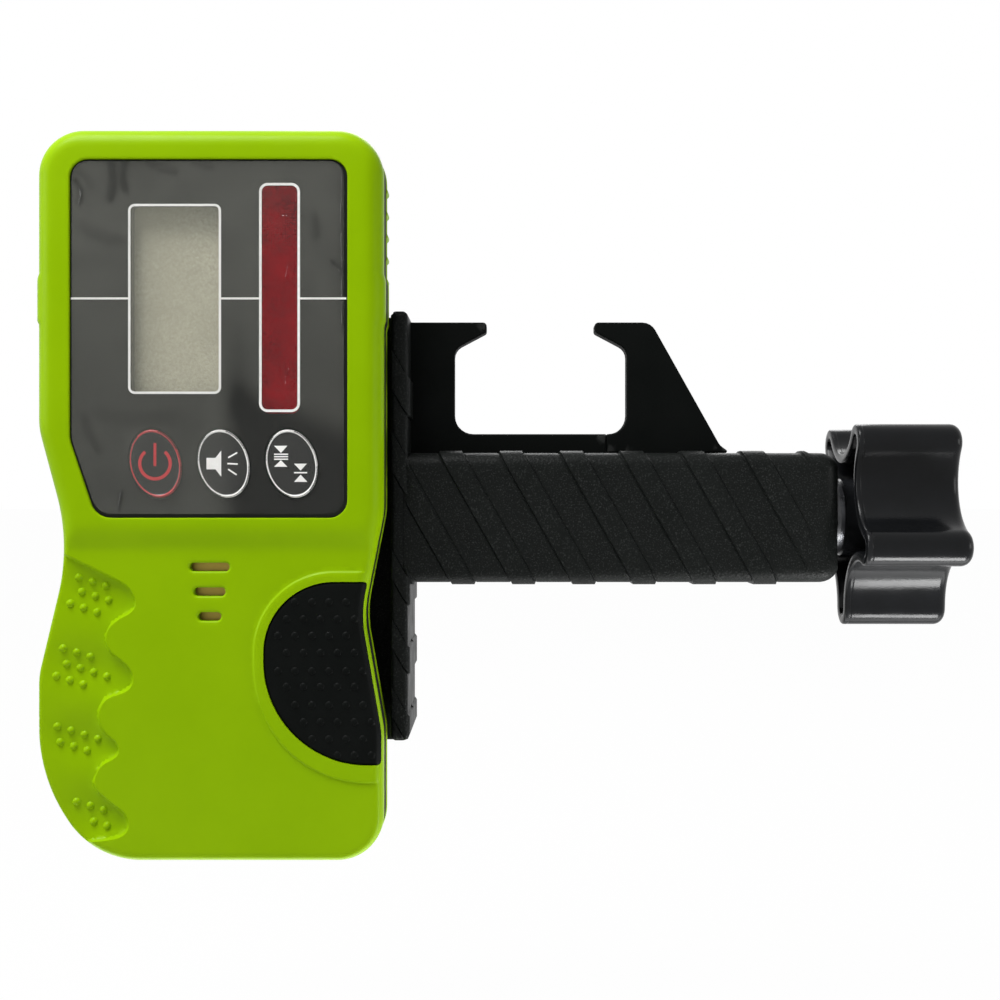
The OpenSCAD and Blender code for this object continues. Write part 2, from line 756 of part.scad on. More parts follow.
// A key: an oval cap through the panel, a flange that keeps it in, and a stem above its switch
module key_cap(x) {
    placed() union() {
        slab(panel_sink - key_proud, face_wall + slide_fit + 0.2) key_shape(x);
        slab(face_wall + slide_fit, face_wall + slide_fit + key_flange_t) key_shape(x, key_flange);
        rod_y(x, key_z, 2, face_wall + slide_fit, board_y - switch_h - key_travel - 0.25);
    }
}

module power_key() {
    color("#4a4b47") key_cap(key_xs[0]);
}

module sound_key() {
    color("#4a4b47") key_cap(key_xs[1]);
}

module precision_key() {
    color("#4a4b47") key_cap(key_xs[2]);
}

module key_switches() {
    color("#2a2a2c") placed() for (x = key_xs) {
        block(x - 3, x + 3, board_y - switch_h + 0.8, board_y, key_z - 3, key_z + 3);
        rod_y(x, key_z, 1.6, board_y - switch_h, board_y - 1);
    }
}

module main_board() {
    color("#25552f") placed() difference() {
        slab(board_y, board_back)
            polygon(outline(box_corners(-board_half, board_half, board_low_z, board_high_z, 2)));
        for (s = standoffs) rod_y(s[0], s[1], board_screw_r + 0.25, board_y - past, board_back + past);
    }
}

module board_screws() {
    color("#b9bcc0") placed() for (s = standoffs) {
        rod_y(s[0], s[1], board_screw_r, face_wall + 1.5, board_back + 0.5);
        rod_y(s[0], s[1], board_screw_r + 0.9, board_back, board_back + 1.2);
    }
}

module buzzer_plate() {
    color("#b08d3c") placed() rod_y(0, slot_z, buzzer_r, buzzer_y, buzzer_y + buzzer_t);
}

module buzzer_ceramic() {
    face = buzzer_y + buzzer_t;
    color("#e4e1d6") placed() rod_y(0, slot_z, buzzer_r - 3, face, face + ceramic_t);
}

module buzzer_springs() {
    color("#c7b27a") placed() for (s = [-1, 1])
        rod_y(s * 4, slot_z, 0.6, buzzer_y + buzzer_t + ceramic_t, board_y);
}

module thumb_pad() {
    color("#111212") placed() intersection() {
        slab(pad_top_y, pad_floor) pad_shape();
        body_slab(pad_top_y - past, pad_floor + past, pad_edge);
    }
}

module battery_cells() {
    color("#6f7276") placed() for (s = [-1, 1]) {
        low = s < 0 ? cell_z0 : cell_z0 + nub_h;
        translate([-bay_off + s * cell_pitch / 2, cell_y, 0]) {
            translate([0, 0, low]) cylinder(r = cell_r, h = cell_len - nub_h);
            translate([0, 0, cell_z0]) cylinder(r = 2.6, h = cell_len);
        }
    }
}

module battery_contacts() {
    color("#c9cbcc") placed() {
        block(bay_x0 + 1, bay_x1 - 1, cell_y - 5, cell_y + 5, bay_z, bay_z + contact_t);
        for (s = [-1, 1]) {
            x = -bay_off + s * cell_pitch / 2;
            translate([x, cell_y, bay_z + contact_t - 0.1]) cylinder(r = 3.4, h = contact_spring + 0.1);
            block(x - 5.5, x + 5.5, cell_y - 5, cell_y + 5, bay_z1 - contact_t, bay_z1);
            translate([x, cell_y, cell_z1]) cylinder(r = 3, h = bay_z1 - contact_t - cell_z1 + 0.1);
            block(x - 1, x + 1, board_back, cell_y, bay_z1 - contact_t, bay_z1);
        }
    }
}

// The door hangs from its pin along the upper edge and lies flush in the back wall
module battery_door() {
    color(green) placed() difference() {
        union() {
            block(door_x0, door_x1, rebate_y + set_fit, body_d, door_z0, hinge_z);
            rod_x(hinge_y, hinge_z, hinge_r, door_x0, door_x1);
            block(bay_x0 + 1.5, bay_x1 - 1.5, rear_inner - 0.5, body_d - 0.2, bay_z + 1, bay_z + 2.5);
            for (i = [0:3]) {
                rib_z = door_z0 + 5 + 2.5 * i;
                block(-bay_off - 7, -bay_off + 7, body_d - 0.2, body_d + 0.5, rib_z, rib_z + 1);
            }
        }
        rod_x(hinge_y, hinge_z, pin_r + 0.02, door_x0 - past, door_x1 + past);
    }
}

module door_pin() {
    color("#c4c7ca") placed() rod_x(hinge_y, hinge_z, pin_r, door_x0 - pin_reach, door_x1 + pin_reach);
}

module case_screws() {
    color("#2f3032") placed() for (b = case_bosses) difference() {
        union() {
            rod_y(b[0], b[1], case_screw_r, case_tip_y, body_d - case_sink);
            rod_y(b[0], b[1], case_head_r, body_d - case_sink - 0.01, body_d - case_sink + case_head_t);
        }
        for (a = [0, 90]) translate([b[0], body_d - case_sink + case_head_t, b[1]]) rotate([0, a, 0])
            cube([0.7, 1.4, 2.6], center = true);
    }
}

module mount_insert() {
    color("#b48f45") placed() difference() {
        rod_y(0, mount_z, insert_r, body_d - insert_len, body_d - 0.1);
        rod_y(0, mount_z, mount_r + run_fit, body_d - insert_len - past, body_d + past);
    }
}

// The arm, with every long edge rounded and its free end rounded both ways
module arm_form(grow) {
    x0 = tee_x0 + 0.5;
    intersection() {
        beam(x0, arm_x1) polygon(outline(box_corners(
            arm_y - grow, arm_back + grow, arm_low - grow, arm_top + grow, arm_r)));
        slab(arm_y - past, arm_back + past) polygon(outline([
            [arm_x1, arm_low - grow, arm_end_r], [arm_x1, arm_top + grow, arm_end_r],
            [x0, arm_top + grow, 0.1], [x0, arm_low - grow, 0.1]
        ]));
        translate([0, 0, arm_low - past]) linear_extrude(arm_h + 2 * past) polygon(outline([
            [arm_x1, arm_y - grow, arm_end_r], [arm_x1, arm_back + grow, arm_end_r],
            [x0, arm_back + grow, 0.1], [x0, arm_y - grow, 0.1]
        ]));
    }
}

module tee_form(grow) {
    slab(arm_y - grow, arm_back + grow)
        polygon(outline([
            [tee_x1 + grow, tee_low_z, 2], [tee_x1 + grow, tee_high_z, 2],
            [tee_x0, tee_high_z, 0.6], [tee_x0, tee_low_z, 0.6]
        ]));
}

// A leaning strip, w wide, whose left edge passes x, z and runs up and down from there
module band_shape(x, z, w, up, down) {
    lean = tan(band_lean);
    polygon([
        [x - up * lean, z + up], [x + down * lean, z - down],
        [x + down * lean + w, z - down], [x - up * lean + w, z + up]
    ]);
}

module bracket_bands() {
    intersection() {
        arm_form(band_h);
        for (i = [-1:5])
            slab(arm_y - past, arm_back + past)
                band_shape(tee_x1 + 6.8 + i * band_pitch, arm_top, band_w, past, arm_h + past);
    }
    intersection() {
        tee_form(band_h);
        union() {
            for (i = [0:2])
                slab(arm_y - past, arm_back + past)
                    band_shape(tee_x0, tee_low_z + 6.3 + i * 15.5, band_w * 0.65, 2, 16);
            for (i = [0:2])
                slab(arm_y - past, arm_back + past)
                    band_shape(tee_x0, arm_top - 3.5 + i * 18.4, band_w * 0.9, 2, 16);
        }
    }
}

// Room in both halves for the jaws, the nut, the screw and the bush
module bracket_room() {
    foot_y = plate_t / 2 + set_fit;
    slot_y = plate_t / 2 + slide_fit;
    block(plate_x0 - set_fit, split_x + set_fit, mid_y - foot_y, mid_y + foot_y,
        fixed_foot_z - set_fit, arm_top + past);
    block(plate_x0 - set_fit, tee_x1 + past, mid_y - foot_y, mid_y + foot_y, arm_top, lip_z + set_fit);
    block(jaw_foot_x0 - slide_fit, jaw_foot_x1 + jaw_travel + slide_fit, mid_y - slot_y, mid_y + slot_y,
        nut_slot_z, arm_top + past);
    block(nut_x0 - slide_fit, nut_x1 + jaw_travel + slide_fit, mid_y - nut_w / 2 - slide_fit,
        mid_y + nut_w / 2 + slide_fit, nut_low_z - slide_fit, nut_high_z + slide_fit);
    rod_x(mid_y, arm_z, screw_r + run_fit, screw_x0 - 0.5, arm_x1 + past);
    rod_x(mid_y, arm_z, bush_r + set_fit / 2, bush_x0, arm_x1 + past);
    rod_x(mid_y, arm_z, ring_r + slide_fit, nut_x1, bush_x0 + 0.01);
}

module bracket_front() {
    color(black) placed() difference() {
        intersection() {
            union() {
                arm_form(0);
                tee_form(0);
                bracket_bands();
            }
            block(0, arm_x1 + past, 0, mid_y, 0, body_h);
        }
        bracket_room();
        for (s = bracket_screw_at)
            rod_y(s[0], s[1], bracket_screw_r + set_fit / 2, bracket_screw_tip - 0.5, mid_y + past);
    }
}

module bracket_rear() {
    color(black) placed() difference() {
        union() {
            intersection() {
                union() {
                    arm_form(0);
                    tee_form(0);
                    bracket_bands();
                }
                block(0, arm_x1 + past, mid_y, arm_back + 2 * past, 0, body_h);
            }
            slab(flange_y, flange_back) polygon(outline(flange_corners));
            for (s = [-1, 1])
                rod_y(s * locator_off, mount_z, locator_r, body_d - locator_len, flange_y + past);
        }
        bracket_room();
        rod_y(0, mount_z, mount_r + 0.35, flange_y - past, flange_back + past);
        for (s = bracket_screw_at) {
            rod_y(s[0], s[1], bracket_screw_r + 0.25, mid_y - past, arm_back + past);
            rod_y(s[0], s[1], bracket_head_r + 0.3, arm_back - bracket_head_t - 0.6, arm_back + 2 * past);
        }
    }
}

module bracket_screws() {
    head_y = arm_back - bracket_head_t - 0.6;
    color("#3a3b3d") placed() for (s = bracket_screw_at) difference() {
        union() {
            rod_y(s[0], s[1], bracket_screw_r, bracket_screw_tip, head_y + 0.5);
            rod_y(s[0], s[1], bracket_head_r, head_y, head_y + bracket_head_t);
        }
        translate([s[0], head_y + 1, s[1]]) rotate([-90, 0, 0]) cylinder(r = 1.45, h = 3, $fn = 6);
    }
}

module jaw_plate(corners) {
    slab(mid_y - plate_t / 2, mid_y + plate_t / 2) polygon(outline(corners));
}

module fixed_jaw() {
    color(black) placed() difference() {
        jaw_plate([
            [plate_x0, fixed_foot_z, 0.5],
            [split_x, fixed_foot_z, 0.5],
            [split_x, seat_z, 0.3],
            [jaw_x0, seat_z, seat_r],
            [jaw_x0, lip_z - lip_t - lip_rise, 3],
            [jaw_x0 + lip_reach, lip_z - lip_t, 0.8],
            [jaw_x0 + lip_reach, lip_z, 0.9],
            [plate_x0, lip_z, 0.5]
        ]);
        for (i = [0, 1])
            rod_y(bracket_screw_at[i][0], bracket_screw_at[i][1], bracket_screw_r + 0.25, arm_y, arm_back);
    }
}

module sliding_jaw() {
    color(black) placed() difference() {
        jaw_plate([
            [split_x + split_gap, jaw_low_z, 0.3],
            [jaw_foot_x0, jaw_low_z, 0.3],
            [jaw_foot_x0, jaw_foot_z, 0.5],
            [jaw_foot_x1, jaw_foot_z, 0.5],
            [jaw_foot_x1, jaw_low_z, 0.3],
            [toe_x, jaw_low_z, 0.5],
            [toe_x, jaw_low_z + toe_t, 0.7],
            [slope_foot_x, jaw_low_z + toe_t, 4],
            [jaw_x1 + jaw_crest, lip_z, 3.5],
            [jaw_x1 - lip_reach, lip_z, 0.9],
            [jaw_x1 - lip_reach, lip_z - lip_t, 0.8],
            [jaw_x1, lip_z - lip_t - lip_rise, 3],
            [jaw_x1, seat_z, seat_r],
            [split_x + split_gap, seat_z, 0.3]
        ]);
        for (x = rivet_xs) rod_y(x, rivet_z, rivet_r + 0.03, arm_y, arm_back);
    }
}

module jaw_nut() {
    color("#a9acaf") placed() difference() {
        block(nut_x0, nut_x1, mid_y - nut_w / 2, mid_y + nut_w / 2, nut_low_z, nut_high_z);
        block(nut_x0 - past, nut_x1 + past, mid_y - plate_t / 2 - 0.05, mid_y + plate_t / 2 + 0.05,
            nut_slot_z, nut_high_z + past);
        rod_x(mid_y, arm_z, screw_r + run_fit, nut_x0 - past, nut_x1 + past);
        for (x = rivet_xs) rod_y(x, rivet_z, rivet_r + 0.03, arm_y, arm_back);
    }
}

module jaw_rivets() {
    color("#bfc2c5") placed() for (x = rivet_xs)
        rod_y(x, rivet_z, rivet_r, mid_y - nut_w / 2, mid_y + nut_w / 2);
}

module lead_screw() {
    color("#c3c6c9") placed() union() {
        rod_x(mid_y, arm_z, screw_r, screw_x0, drive_x0 + 0.5);
        translate([drive_x0, mid_y, arm_z]) rotate([0, 90, 0])
            cylinder(r = drive_r, h = drive_x1 - drive_x0, $fn = 6);
    }
}

module end_bush() {
    color("#c9ccce") placed() difference() {
        union() {
            rod_x(mid_y, arm_z, bush_r, bush_x0, arm_x1 + 0.5);
            rod_x(mid_y, arm_z, bush_flange_r, arm_x1 + 0.02, arm_x1 + bush_flange_t);
        }
        rod_x(mid_y, arm_z, screw_r + run_fit, bush_x0 - past, arm_x1 + 2 * past);
    }
}

module screw_ring(r, x0, x1) {
    placed() difference() {
        rod_x(mid_y, arm_z, r, x0, x1);
        rod_x(mid_y, arm_z, screw_r + 0.02, x0 - past, x1 + past);
    }
}

module thrust_washer() {
    color("#d3d5d7") screw_ring(washer_r, washer_x, washer_x + washer_t);
}

module retaining_ring() {
    color("#55585c") screw_ring(ring_r, ring_x, ring_x + ring_t);
}

// Points of the lobed section of the knob, drawn in by inset; one lobe points down
function lobed_points(inset, steps = 10) =
    let (half_step = 180 / lobes)
    [for (i = [0:lobes - 1])
        let (
            a = -90 + 2 * half_step * i,
            tip = lobe_ring * [cos(a), sin(a)],
            hollow = hollow_ring * [cos(a + half_step), sin(a + half_step)],
            across = hollow - tip,
            reach = atan2(across[1], across[0]) - a,
            sweep = reach < -180 ? reach + 360 : reach > 180 ? reach - 360 : reach,
            bay = sweep - half_step
        )
        each concat(
            [for (k = [0:steps])
                let (turn = a + sweep * (2 * k / steps - 1))
                tip + (lobe_r - inset) * [cos(turn), sin(turn)]],
            [for (k = [1:steps - 1])
                let (turn = a + half_step + 180 + bay * (1 - 2 * k / steps))
                hollow + (hollow_cut_r + inset) * [cos(turn), sin(turn)]]
        )];

module clamp_knob() {
    color("#18191a") placed() difference() {
        union() {
            difference() {
                translate([0, mid_y, arm_z]) beam(knob_x0, knob_x1) polygon(lobed_points(0));
                translate([0, mid_y, arm_z]) beam(knob_x0 - past, knob_x1 - knob_end)
                    polygon(lobed_points(knob_wall));
            }
            rod_x(mid_y, arm_z, hub_r, hub_x, knob_x1 - knob_end + 0.5);
        }
        rod_x(mid_y, arm_z, screw_r + 0.05, hub_x - past, drive_x0 + past);
        translate([drive_x0, mid_y, arm_z]) rotate([0, 90, 0])
            cylinder(r = drive_r + 0.05, h = drive_x1 - drive_x0 + 0.1, $fn = 6);
    }
}

module mount_screw() {
    grips = 12;
    color("#232425") placed() difference() {
        union() {
            rod_y(0, mount_z, mount_r, mount_tip, mount_head_y + 0.5);
            rod_y(0, mount_z, mount_head_r, mount_head_y, mount_head_y + mount_head_t);
        }
        for (i = [0:grips - 1]) translate([0, 0, mount_z]) rotate([0, 360 / grips * i, 0])
            rod_y(mount_head_r + 0.9, 0, 1.9, mount_head_y + 1.2, mount_head_y + mount_head_t + past);
    }
}

module mount_washer() {
    color("#b7babd") placed() difference() {
        rod_y(0, mount_z, 6.5, flange_back + 0.05, flange_back + 0.05 + mount_washer_t);
        rod_y(0, mount_z, mount_r + 0.1, flange_back - past, flange_back + 2 * past);
    }
}

front_shell();
rear_shell();
case_band();
panel_overlay();
lcd_window();
lcd_glass();
lcd_holder();
sensor_window();
sensor_board();
photodiodes();
sensor_header();
power_key();
sound_key();
precision_key();
key_switches();
main_board();
board_screws();
buzzer_plate();
buzzer_ceramic();
buzzer_springs();
thumb_pad();
battery_cells();
battery_contacts();
battery_door();
door_pin();
case_screws();
mount_insert();
bracket_front();
bracket_rear();
bracket_screws();
fixed_jaw();
sliding_jaw();
jaw_nut();
jaw_rivets();
lead_screw();
end_bush();
thrust_washer();
retaining_ring();
clamp_knob();
mount_screw();
mount_washer();
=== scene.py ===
import math

import bmesh
import bpy
import numpy as np
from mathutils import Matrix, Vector
from mathutils.geometry import delaunay_2d_cdt
from mathutils.kdtree import KDTree


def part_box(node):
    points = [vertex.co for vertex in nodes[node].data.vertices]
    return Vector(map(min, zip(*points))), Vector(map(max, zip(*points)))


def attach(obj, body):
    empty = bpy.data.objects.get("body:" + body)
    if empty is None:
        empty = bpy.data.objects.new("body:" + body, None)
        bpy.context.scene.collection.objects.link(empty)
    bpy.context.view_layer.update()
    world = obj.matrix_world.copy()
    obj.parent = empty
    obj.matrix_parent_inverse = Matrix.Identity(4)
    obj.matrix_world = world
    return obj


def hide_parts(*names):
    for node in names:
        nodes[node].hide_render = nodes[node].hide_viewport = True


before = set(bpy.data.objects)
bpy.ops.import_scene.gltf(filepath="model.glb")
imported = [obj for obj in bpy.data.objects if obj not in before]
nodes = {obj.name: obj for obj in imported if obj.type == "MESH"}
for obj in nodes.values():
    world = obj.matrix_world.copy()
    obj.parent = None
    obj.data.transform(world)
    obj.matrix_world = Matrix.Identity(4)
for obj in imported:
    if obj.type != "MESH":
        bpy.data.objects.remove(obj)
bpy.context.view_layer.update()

# all shapes below are in drawn mm:
# x from the receiver's middle, y back from its front rim, z up from its foot
rearLow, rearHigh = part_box("rear_shell")
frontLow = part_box("front_shell")[0]
zero = np.array([(rearLow.x + rearHigh.x) / 2, frontLow.y, rearLow.z])
mm = 0.001
print("frame loaded, drawn zero at", [round(float(v) * 1000, 2) for v in zero])


# mesh helpers

def outline(corners, inset=0.0, spacing=0.8):
    # rounded polygon from [x, z, radius] corners, anticlockwise; the same number of points at every inset
    flat = np.array([c[:2] for c in corners], float)
    count = len(flat)
    ahead = np.roll(flat, -1, 0) - flat
    lengths = np.linalg.norm(ahead, axis=1)
    ahead /= lengths[:, None]
    left = np.stack([-ahead[:, 1], ahead[:, 0]], 1)
    arcs = []
    trims = []
    for i in range(count):
        u, v = ahead[i - 1], ahead[i]
        turn = math.atan2(u[0] * v[1] - u[1] * v[0], u @ v)
        radius = corners[i][2]
        trims.append(radius * math.tan(abs(turn) / 2))
        steps = max(2, int(math.ceil(abs(turn) * radius / spacing)), int(math.ceil(abs(turn) / 0.35)))
        push = left[i - 1] + left[i]
        tip = flat[i] + inset * push / (1 + left[i - 1] @ left[i])
        side = 1 if turn > 0 else -1
        bend = max(radius - side * inset, 0.02)
        trim = bend * math.tan(abs(turn) / 2)
        start = tip - u * trim
        hub = start + side * bend * left[i - 1]
        angles = math.atan2(*(start - hub)[::-1]) + turn * np.linspace(0, 1, steps + 1)
        arcs.append(hub + bend * np.stack([np.cos(angles), np.sin(angles)], 1))
    points = []
    for i in range(count):
        nextArc = arcs[(i + 1) % count]
        gap = lengths[i] - trims[i] - trims[(i + 1) % count]
        pieces = max(1, int(math.ceil(gap / spacing)))
        share = np.linspace(0, 1, pieces + 1)[1:-1, None]
        points.append(arcs[i])
        points.append(arcs[i][-1] + share * (nextArc[0] - arcs[i][-1]))
    return np.vstack([p for p in points if len(p)])


def boxCorners(x0, x1, z0, z1, r):
    return [[x1, z0, r], [x1, z1, r], [x0, z1, r], [x0, z0, r]]


def circle(x, z, r, steps=40):
    turn = np.linspace(0, 2 * math.pi, steps, endpoint=False)
    return np.stack([x + r * np.cos(turn), z + r * np.sin(turn)], 1)


def oval(x, z, a, b, lean, steps=72):
    flat = circle(0, 0, 1, steps) * (a, b)
    c, s = math.cos(math.radians(lean)), math.sin(math.radians(lean))
    return np.stack([x + flat[:, 0] * c - flat[:, 1] * s, z + flat[:, 0] * s + flat[:, 1] * c], 1)


def smoothLoop(loop, spacing, reach):
    # even spacing, then corners rounded by a running mean over reach mm
    closed = np.vstack([loop, loop[:1]])
    run = np.concatenate([[0], np.cumsum(np.linalg.norm(np.diff(closed, axis=0), axis=1))])
    count = int(run[-1] / spacing)
    at = np.linspace(0, run[-1], count, endpoint=False)
    even = np.stack([np.interp(at, run, closed[:, k]) for k in (0, 1)], 1)
    half = max(1, int(3 * reach / spacing))
    weight = np.exp(-0.5 * (np.arange(-half, half + 1) * spacing / reach) ** 2)
    weight /= weight.sum()
    return sum(w * np.roll(even, -k, 0) for k, w in zip(range(-half, half + 1), weight))


def curve(points, spacing):
    # smooth open curve through the points
    p = np.array(points, float)
    p = np.vstack([2 * p[0] - p[1], p, 2 * p[-1] - p[-2]])
    out = []
    for i in range(1, len(p) - 2):
        steps = max(2, int(np.linalg.norm(p[i + 1] - p[i]) / spacing))
        t = np.linspace(0, 1, steps, endpoint=False)[:, None]
        a, b, c, d = p[i - 1], p[i], p[i + 1], p[i + 2]
        square = 2 * a - 5 * b + 4 * c - d
        cube = 3 * b - a - 3 * c + d
        out.append(0.5 * (2 * b + (c - a) * t + square * t ** 2 + cube * t ** 3))
    return np.vstack(out + [p[-2:-1]])


def inside(points, loop):
    hit = np.zeros(len(points), bool)
    for a, b in zip(loop, np.roll(loop, -1, 0)):
        if a[1] == b[1]:
            continue
        cross = (a[1] > points[:, 1]) != (b[1] > points[:, 1])
        hit ^= cross & (points[:, 0] < a[0] + (points[:, 1] - a[1]) * (b[0] - a[0]) / (b[1] - a[1]))
    return hit


def distance(points, line, closed=True):
    ends = np.roll(line, -1, 0) if closed else line[1:]
    best = np.full(len(points), 1e9)
    for a, b in zip(line, ends):
        step = b - a
        size = step @ step
        if size < 1e-12:
            continue
        t = np.clip(((points - a) @ step) / size, 0, 1)
        off = points - a - t[:, None] * step
        best = np.minimum(best, (off * off).sum(1))
    return np.sqrt(best)


def ramp(value, low, high):
    t = np.clip((value - low) / (high - low), 0, 1)
    return t * t * (3 - 2 * t)


def deeper(a, b, blend):
    # the larger of two depths, with a soft change over
    near = np.maximum(blend - np.abs(a - b), 0) / blend
    return np.maximum(a, b) + near * near * blend / 4


def fill(loops, extra=()):
    # triangles between the first loop and the holes after it
    coords, edges = [], []
    for loop in loops:
        base = len(coords)
        coords += [Vector(p) for p in loop]
        edges += [(base + i, base + (i + 1) % len(loop)) for i in range(len(loop))]
    coords += [Vector(p) for p in extra]
    found = delaunay_2d_cdt(coords, edges, [], 0, 1e-5)
    flat = np.array([(v.x, v.y) for v in found[0]])
    faces = np.array([f for f in found[2] if len(f) == 3])
    middle = flat[faces].mean(1)
    keep = inside(middle, np.asarray(loops[0]))
    for hole in loops[1:]:
        keep &= ~inside(middle, np.asarray(hole))
    return flat, faces[keep]


def thicken(flat, faces, front, back):
    # closed body from a flat triangle net: front and back depths at every point, walls along all edges
    count = len(flat)
    points = np.vstack([np.stack([flat[:, 0], depth, flat[:, 1]], 1) for depth in (front, back)])
    seen = {}
    for a, b, c in faces:
        for e in ((a, b), (b, c), (c, a)):
            seen[e] = 1
    walls = [(a, b, b + count, a + count) for a, b in seen if (b, a) not in seen]
    return points, [tuple(f) for f in faces] + [tuple(reversed(f)) for f in faces + count] + walls


def skin(rings, caps=True):
    # quads between rings of equal length, the end rings closed with one face each
    count = len(rings[0])
    faces = []
    for k in range(len(rings) - 1):
        for i in range(count):
            j = (i + 1) % count
            faces.append((k * count + i, k * count + j, (k + 1) * count + j, (k + 1) * count + i))
    if caps:
        last = (len(rings) - 1) * count
        faces.append(tuple(reversed(range(count))))
        faces.append(tuple(last + i for i in range(count)))
    return np.vstack(rings), faces


def atDepth(loop, y):
    return np.stack([loop[:, 0], np.full(len(loop), float(y)), loop[:, 1]], 1)


def join(*solids):
    points, faces, base = [], [], 0
    for p, f in solids:
        points.append(np.asarray(p, float))
        faces += [tuple(i + base for i in face) for face in f]
        base += len(p)
    return np.vstack(points), faces


def plate(corners, y0, y1, bevel, spacing=0.8, holes=(), netStep=2.5, clear=0.4):
    # flat plate with rounded edges on both faces
    turn = np.radians([0, 22, 45, 68, 90])
    rows = [(y0 + bevel * (1 - math.sin(a)), bevel * (1 - math.cos(a))) for a in turn[::-1]]
    rows += [(y1 - bevel * (1 - math.sin(a)), bevel * (1 - math.cos(a))) for a in turn]
    solid = skin([atDepth(outline(corners, inset, spacing), y) for y, inset in rows], caps=False)
    faceLoop = outline(corners, bevel, spacing)
    # points inside the face keep the wear close to its edges
    (x0, z0), (x1, z1) = faceLoop.min(0), faceLoop.max(0)
    gx, gz = np.meshgrid(np.arange(x0, x1, netStep), np.arange(z0, z1, netStep))
    within = np.vstack([outline(corners, bevel + 0.6, spacing), np.stack([gx.ravel(), gz.ravel()], 1)])
    within = within[inside(within, faceLoop) & (distance(within, faceLoop) > clear)]
    for hole in holes:
        within = within[~inside(within, hole) & (distance(within, hole) > clear)]
    flat, faces = fill([faceLoop, *holes], within)
    caps = [(atDepth(flat, y), [tuple(f) for f in faces]) for y in (y0, y1)]
    walls = [skin([atDepth(h, y0), atDepth(h, y1)], caps=False) for h in holes]
    return join(solid, *caps, *walls)


def lathe(profile, axis, centre, steps=48):
    # profile of (along, radius) turned about the y or x axis through centre
    turn = np.linspace(0, 2 * math.pi, steps, endpoint=False)
    rings = []
    for along, r in profile:
        across = np.stack([r * np.cos(turn), r * np.sin(turn)], 1)
        ring = np.zeros((steps, 3))
        if axis == "y":
            ring[:, 0], ring[:, 1], ring[:, 2] = centre[0] + across[:, 0], along, centre[2] + across[:, 1]
        else:
            ring[:, 0], ring[:, 1], ring[:, 2] = along, centre[1] + across[:, 0], centre[2] + across[:, 1]
        rings.append(ring)
    return skin(rings)


def block(x0, x1, y0, y1, z0, z1):
    rings = [np.array([[x0, y, z0], [x1, y, z0], [x1, y, z1], [x0, y, z1]], float) for y in (y0, y1)]
    return skin(rings)


def plainObject(name, solid):
    mesh = bpy.data.meshes.new(name)
    mesh.from_pydata([tuple(p) for p in solid[0]], [], solid[1])
    net = bmesh.new()
    net.from_mesh(mesh)
    bmesh.ops.remove_doubles(net, verts=net.verts, dist=0.002)
    bmesh.ops.dissolve_degenerate(net, dist=0.0005, edges=net.edges)
    bmesh.ops.recalc_face_normals(net, faces=net.faces)
    net.to_mesh(mesh)
    net.free()
    thing = bpy.data.objects.new(name, mesh)
    bpy.context.scene.collection.objects.link(thing)
    return thing


def carve(solid, cutters):
    body = plainObject("carved", solid)
    tools = [plainObject("cutter", c) for c in cutters]
    for tool in tools:
        cut = body.modifiers.new("cut", "BOOLEAN")
        cut.operation, cut.solver, cut.object = "DIFFERENCE", "EXACT", tool
    bpy.context.view_layer.update()
    shaped = bpy.data.meshes.new_from_object(body.evaluated_get(bpy.context.evaluated_depsgraph_get()))
    points = np.array([v.co for v in shaped.vertices], float)
    faces = [tuple(p.vertices) for p in shaped.polygons]
    for thing in [body, *tools]:
        bpy.data.meshes.remove(thing.data)
    bpy.data.meshes.remove(shaped)
    return points, faces


def addPiece(name, solid, material, body, replaced=(), sharp=32):
    piece = plainObject(name, solid)
    moved = np.array([v.co for v in piece.data.vertices], float) * mm + zero
    piece.data.vertices.foreach_set("co", moved.astype(np.float32).ravel())
    piece.data.update()
    piece.data.shade_smooth()
    piece.data.set_sharp_from_angle(angle=math.radians(sharp))
    piece.data.materials.append(material)
    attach(piece, body)
    if replaced:
        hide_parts(*replaced)
    return piece


# materials

def hexColor(code):
    parts = [int(code[i:i + 2], 16) / 255 for i in (1, 3, 5)]
    return tuple(c / 12.92 if c <= 0.04045 else ((c + 0.055) / 1.055) ** 2.4 for c in parts) + (1.0,)


def addNode(tree, kind, inputs=None, **settings):
    node = tree.nodes.new("ShaderNode" + kind)
    for key, value in settings.items():
        setattr(node, key, value)
    for key, value in (inputs or {}).items():
        if isinstance(value, bpy.types.NodeSocket):
            tree.links.new(value, node.inputs[key])
        else:
            node.inputs[key].default_value = value
    return node


def perMm(size):
    # texture scale for a pattern of that size in mm, in object coordinates of metres
    return 1000.0 / size


def newMaterial(name):
    material = bpy.data.materials.new(name)
    material.use_nodes = True
    tree = material.node_tree
    tree.nodes.clear()
    where = addNode(tree, "TexCoord").outputs["Object"]
    return material, tree, where


